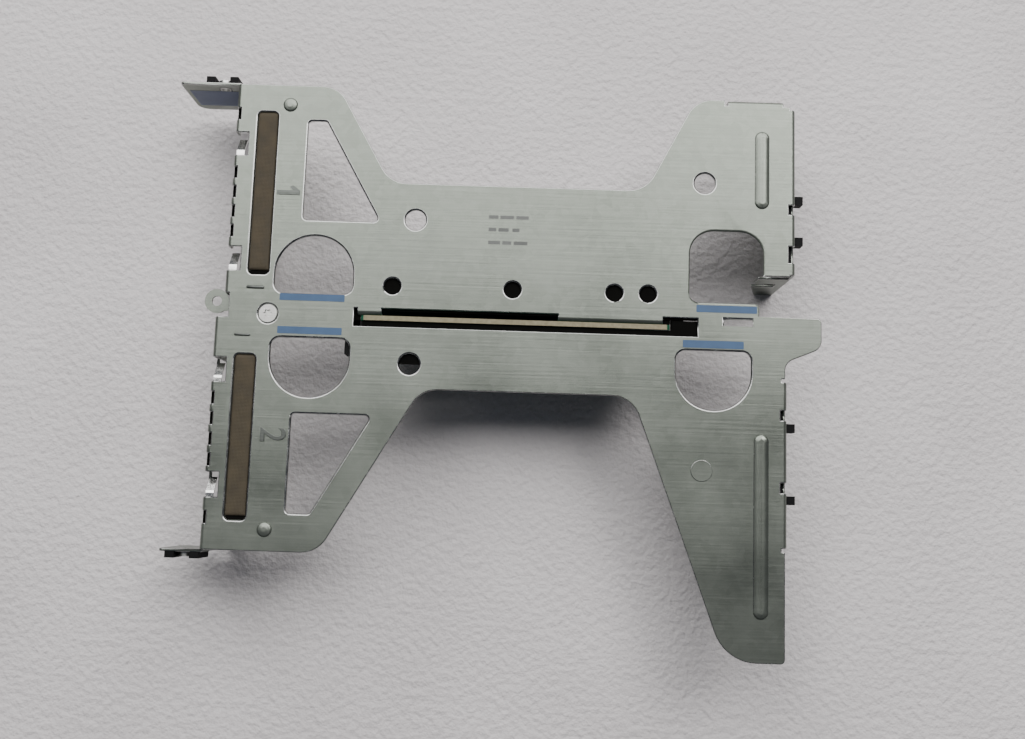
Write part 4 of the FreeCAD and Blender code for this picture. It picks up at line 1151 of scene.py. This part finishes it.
def numeral_mesh(text, low, high):
    curve = bpy.data.curves.new("numeral", "FONT")
    curve.body = text
    curve.extrude = TEXT_EXTRUDE
    curve.bevel_depth = TEXT_BEVEL
    curve.bevel_resolution = TEXT_BEVEL_STEPS
    holder = bpy.data.objects.new("numeral", curve)
    bpy.context.scene.collection.objects.link(holder)
    evaluated = holder.evaluated_get(bpy.context.evaluated_depsgraph_get())
    mesh = bpy.data.meshes.new_from_object(evaluated)
    bpy.data.objects.remove(holder)
    mesh.transform(Matrix.Rotation(math.radians(-90), 4, "Z"))
    start = Vector([min(vertex.co[axis] for vertex in mesh.vertices) for axis in range(3)])
    end = Vector([max(vertex.co[axis] for vertex in mesh.vertices) for axis in range(3)])
    span = end - start
    sizes = [(high[0] - low[0]) / span.x, (high[1] - low[1]) / span.y, STAMP_RISE / span.z]
    mesh.transform(Matrix.Translation(-start))
    mesh.transform(Matrix.Diagonal((*sizes, 1)))
    mesh.transform(Matrix.Translation((low[0], low[1], PLATE_TOP)))
    return mesh


def build_one(work):
    base = [work.verts.new((x * MM, y * MM, PLATE_TOP)) for x, y in SLOT_ONE]
    top = [work.verts.new((x * MM, y * MM, PLATE_TOP + STAMP_RISE)) for x, y in SLOT_ONE]
    bridge(work, base, top)
    work.faces.new(top)
    work.faces.new(list(reversed(base)))


def build_dashes(work):
    for x, y, length, width in DASHES:
        low = ((x - length / 2) * MM, (y - width / 2) * MM)
        high = ((x + length / 2) * MM, (y + width / 2) * MM)
        raised_field(work, low, high, PLATE_TOP, STAMP_RISE, width / 2 * MM, STAMP_RISE * DASH_BEVEL)


stamps = [numeral_mesh("2", *field_corners(SLOT_TWO))]
stamps.append(mesh_from("one", build_one, smooth=False))
stamps.append(mesh_from("dashes", build_dashes))
STAMP = bright_metal("stamped_zinc", STAMP_TONES, gloss=(0.4, 0.55))
finish_piece("stamped_marks", join_meshes("stamped_marks", stamps), STAMP)

# %% [markdown]
# ## Printed rows
# The middle of the plate carries three short rows of plain dashes in thin grey ink. Like the paint, the ink
# is a raised field, only thinner.

# %% Printed rows
INK_TONES = ((0.10, 0.105, 0.10), (0.19, 0.20, 0.19))
INK_GLOSS = (0.5, 0.7)
INK_GRAIN = 0.01 * MM
INK_FILM = 0.02 * MM
INK_HEIGHT = 1.2
# middle y of each row, then the start and length of each dash, in millimetres
PRINT_ROWS = [
    (47.55, [(-1.7, 3.2), (2.1, 4.6), (7.4, 4.2)]),
    (43.25, [(-1.7, 2.6), (1.6, 3.4), (6.2, 2.4)]),
    (38.85, [(-1.7, 4.0), (3.0, 3.0), (6.8, 4.6)]),
]


def build_print(work):
    for middle, dashes in PRINT_ROWS:
        for start, length in dashes:
            low = (start * MM, (middle - INK_HEIGHT / 2) * MM)
            high = ((start + length) * MM, (middle + INK_HEIGHT / 2) * MM)
            raised_field(work, low, high, PLATE_TOP, INK_FILM, CORNER_ROUND, INK_FILM / 2)


INK = two_tone_finish("grey_ink", INK_TONES, INK_GLOSS, MOULDED_SCALES, INK_GRAIN)
flat_piece("print_rows", build_print, INK)

# %% [markdown]
# ## Floor and light
# The cage lies on a plain pale sheet. One long soft panel leans over it from the far side. The satin plate
# mirrors the panel's near edge, so it is bright at the far side and fades towards the near side, and every
# edge that faces the panel gets a white line. A small lamp at the far right and a weak fill keep the shadows
# open.

# %% Floor
FLOOR_HALF = 1.6
FLOOR_TONES = ((0.66, 0.625, 0.63), (0.77, 0.735, 0.74))
FLOOR_GLOSS = (0.55, 0.7)
FLOOR_SCALES = (14.0, 420.0)
FLOOR_GRAIN = 0.8 * MM


def build_floor(work):
    corners = [(-1, -1), (1, -1), (1, 1), (-1, 1)]
    work.faces.new([work.verts.new((x * FLOOR_HALF, y * FLOOR_HALF, 0)) for x, y in corners])


floor_mesh = mesh_from("floor", build_floor, smooth=False)
floor_mesh.materials.append(
    two_tone_finish("floor_sheet", FLOOR_TONES, FLOOR_GLOSS, FLOOR_SCALES, FLOOR_GRAIN)
)
floor = bpy.data.objects.new("floor", floor_mesh)
bpy.context.scene.collection.objects.link(floor)
print("floor is", 2 * FLOOR_HALF, "m wide")

# %% Light
SKY_TONE = (0.66, 0.72, 0.86, 1.0)
SKY_STRENGTH = 0.10


def add_panel(name, place, width, height, power, tone):
    """A rectangular light that faces the middle of the floor."""
    data = bpy.data.lights.new(name, "AREA")
    data.shape = "RECTANGLE"
    data.size = width
    data.size_y = height
    data.energy = power
    data.color = tone
    light = bpy.data.objects.new(name, data)
    facing = (-Vector(place)).to_track_quat("-Z", "Y")
    light.matrix_world = Matrix.Translation(place) @ facing.to_matrix().to_4x4()
    bpy.context.scene.collection.objects.link(light)
    print(name, "gives", power, "W")


add_panel(
    "far_panel", place=(-0.10, 1.41, 1.685), width=3.2, height=2.34, power=92.0, tone=(1.0, 0.99, 0.975)
)
add_panel(
    "far_right_lamp", place=(0.75, 0.70, 1.25), width=0.5, height=0.5, power=5.0, tone=(1.0, 0.97, 0.95)
)
world = bpy.data.worlds.new("studio")
bpy.context.scene.world = world
world.use_nodes = True
background = world.node_tree.nodes["Background"]
background.inputs["Color"].default_value = SKY_TONE
background.inputs["Strength"].default_value = SKY_STRENGTH
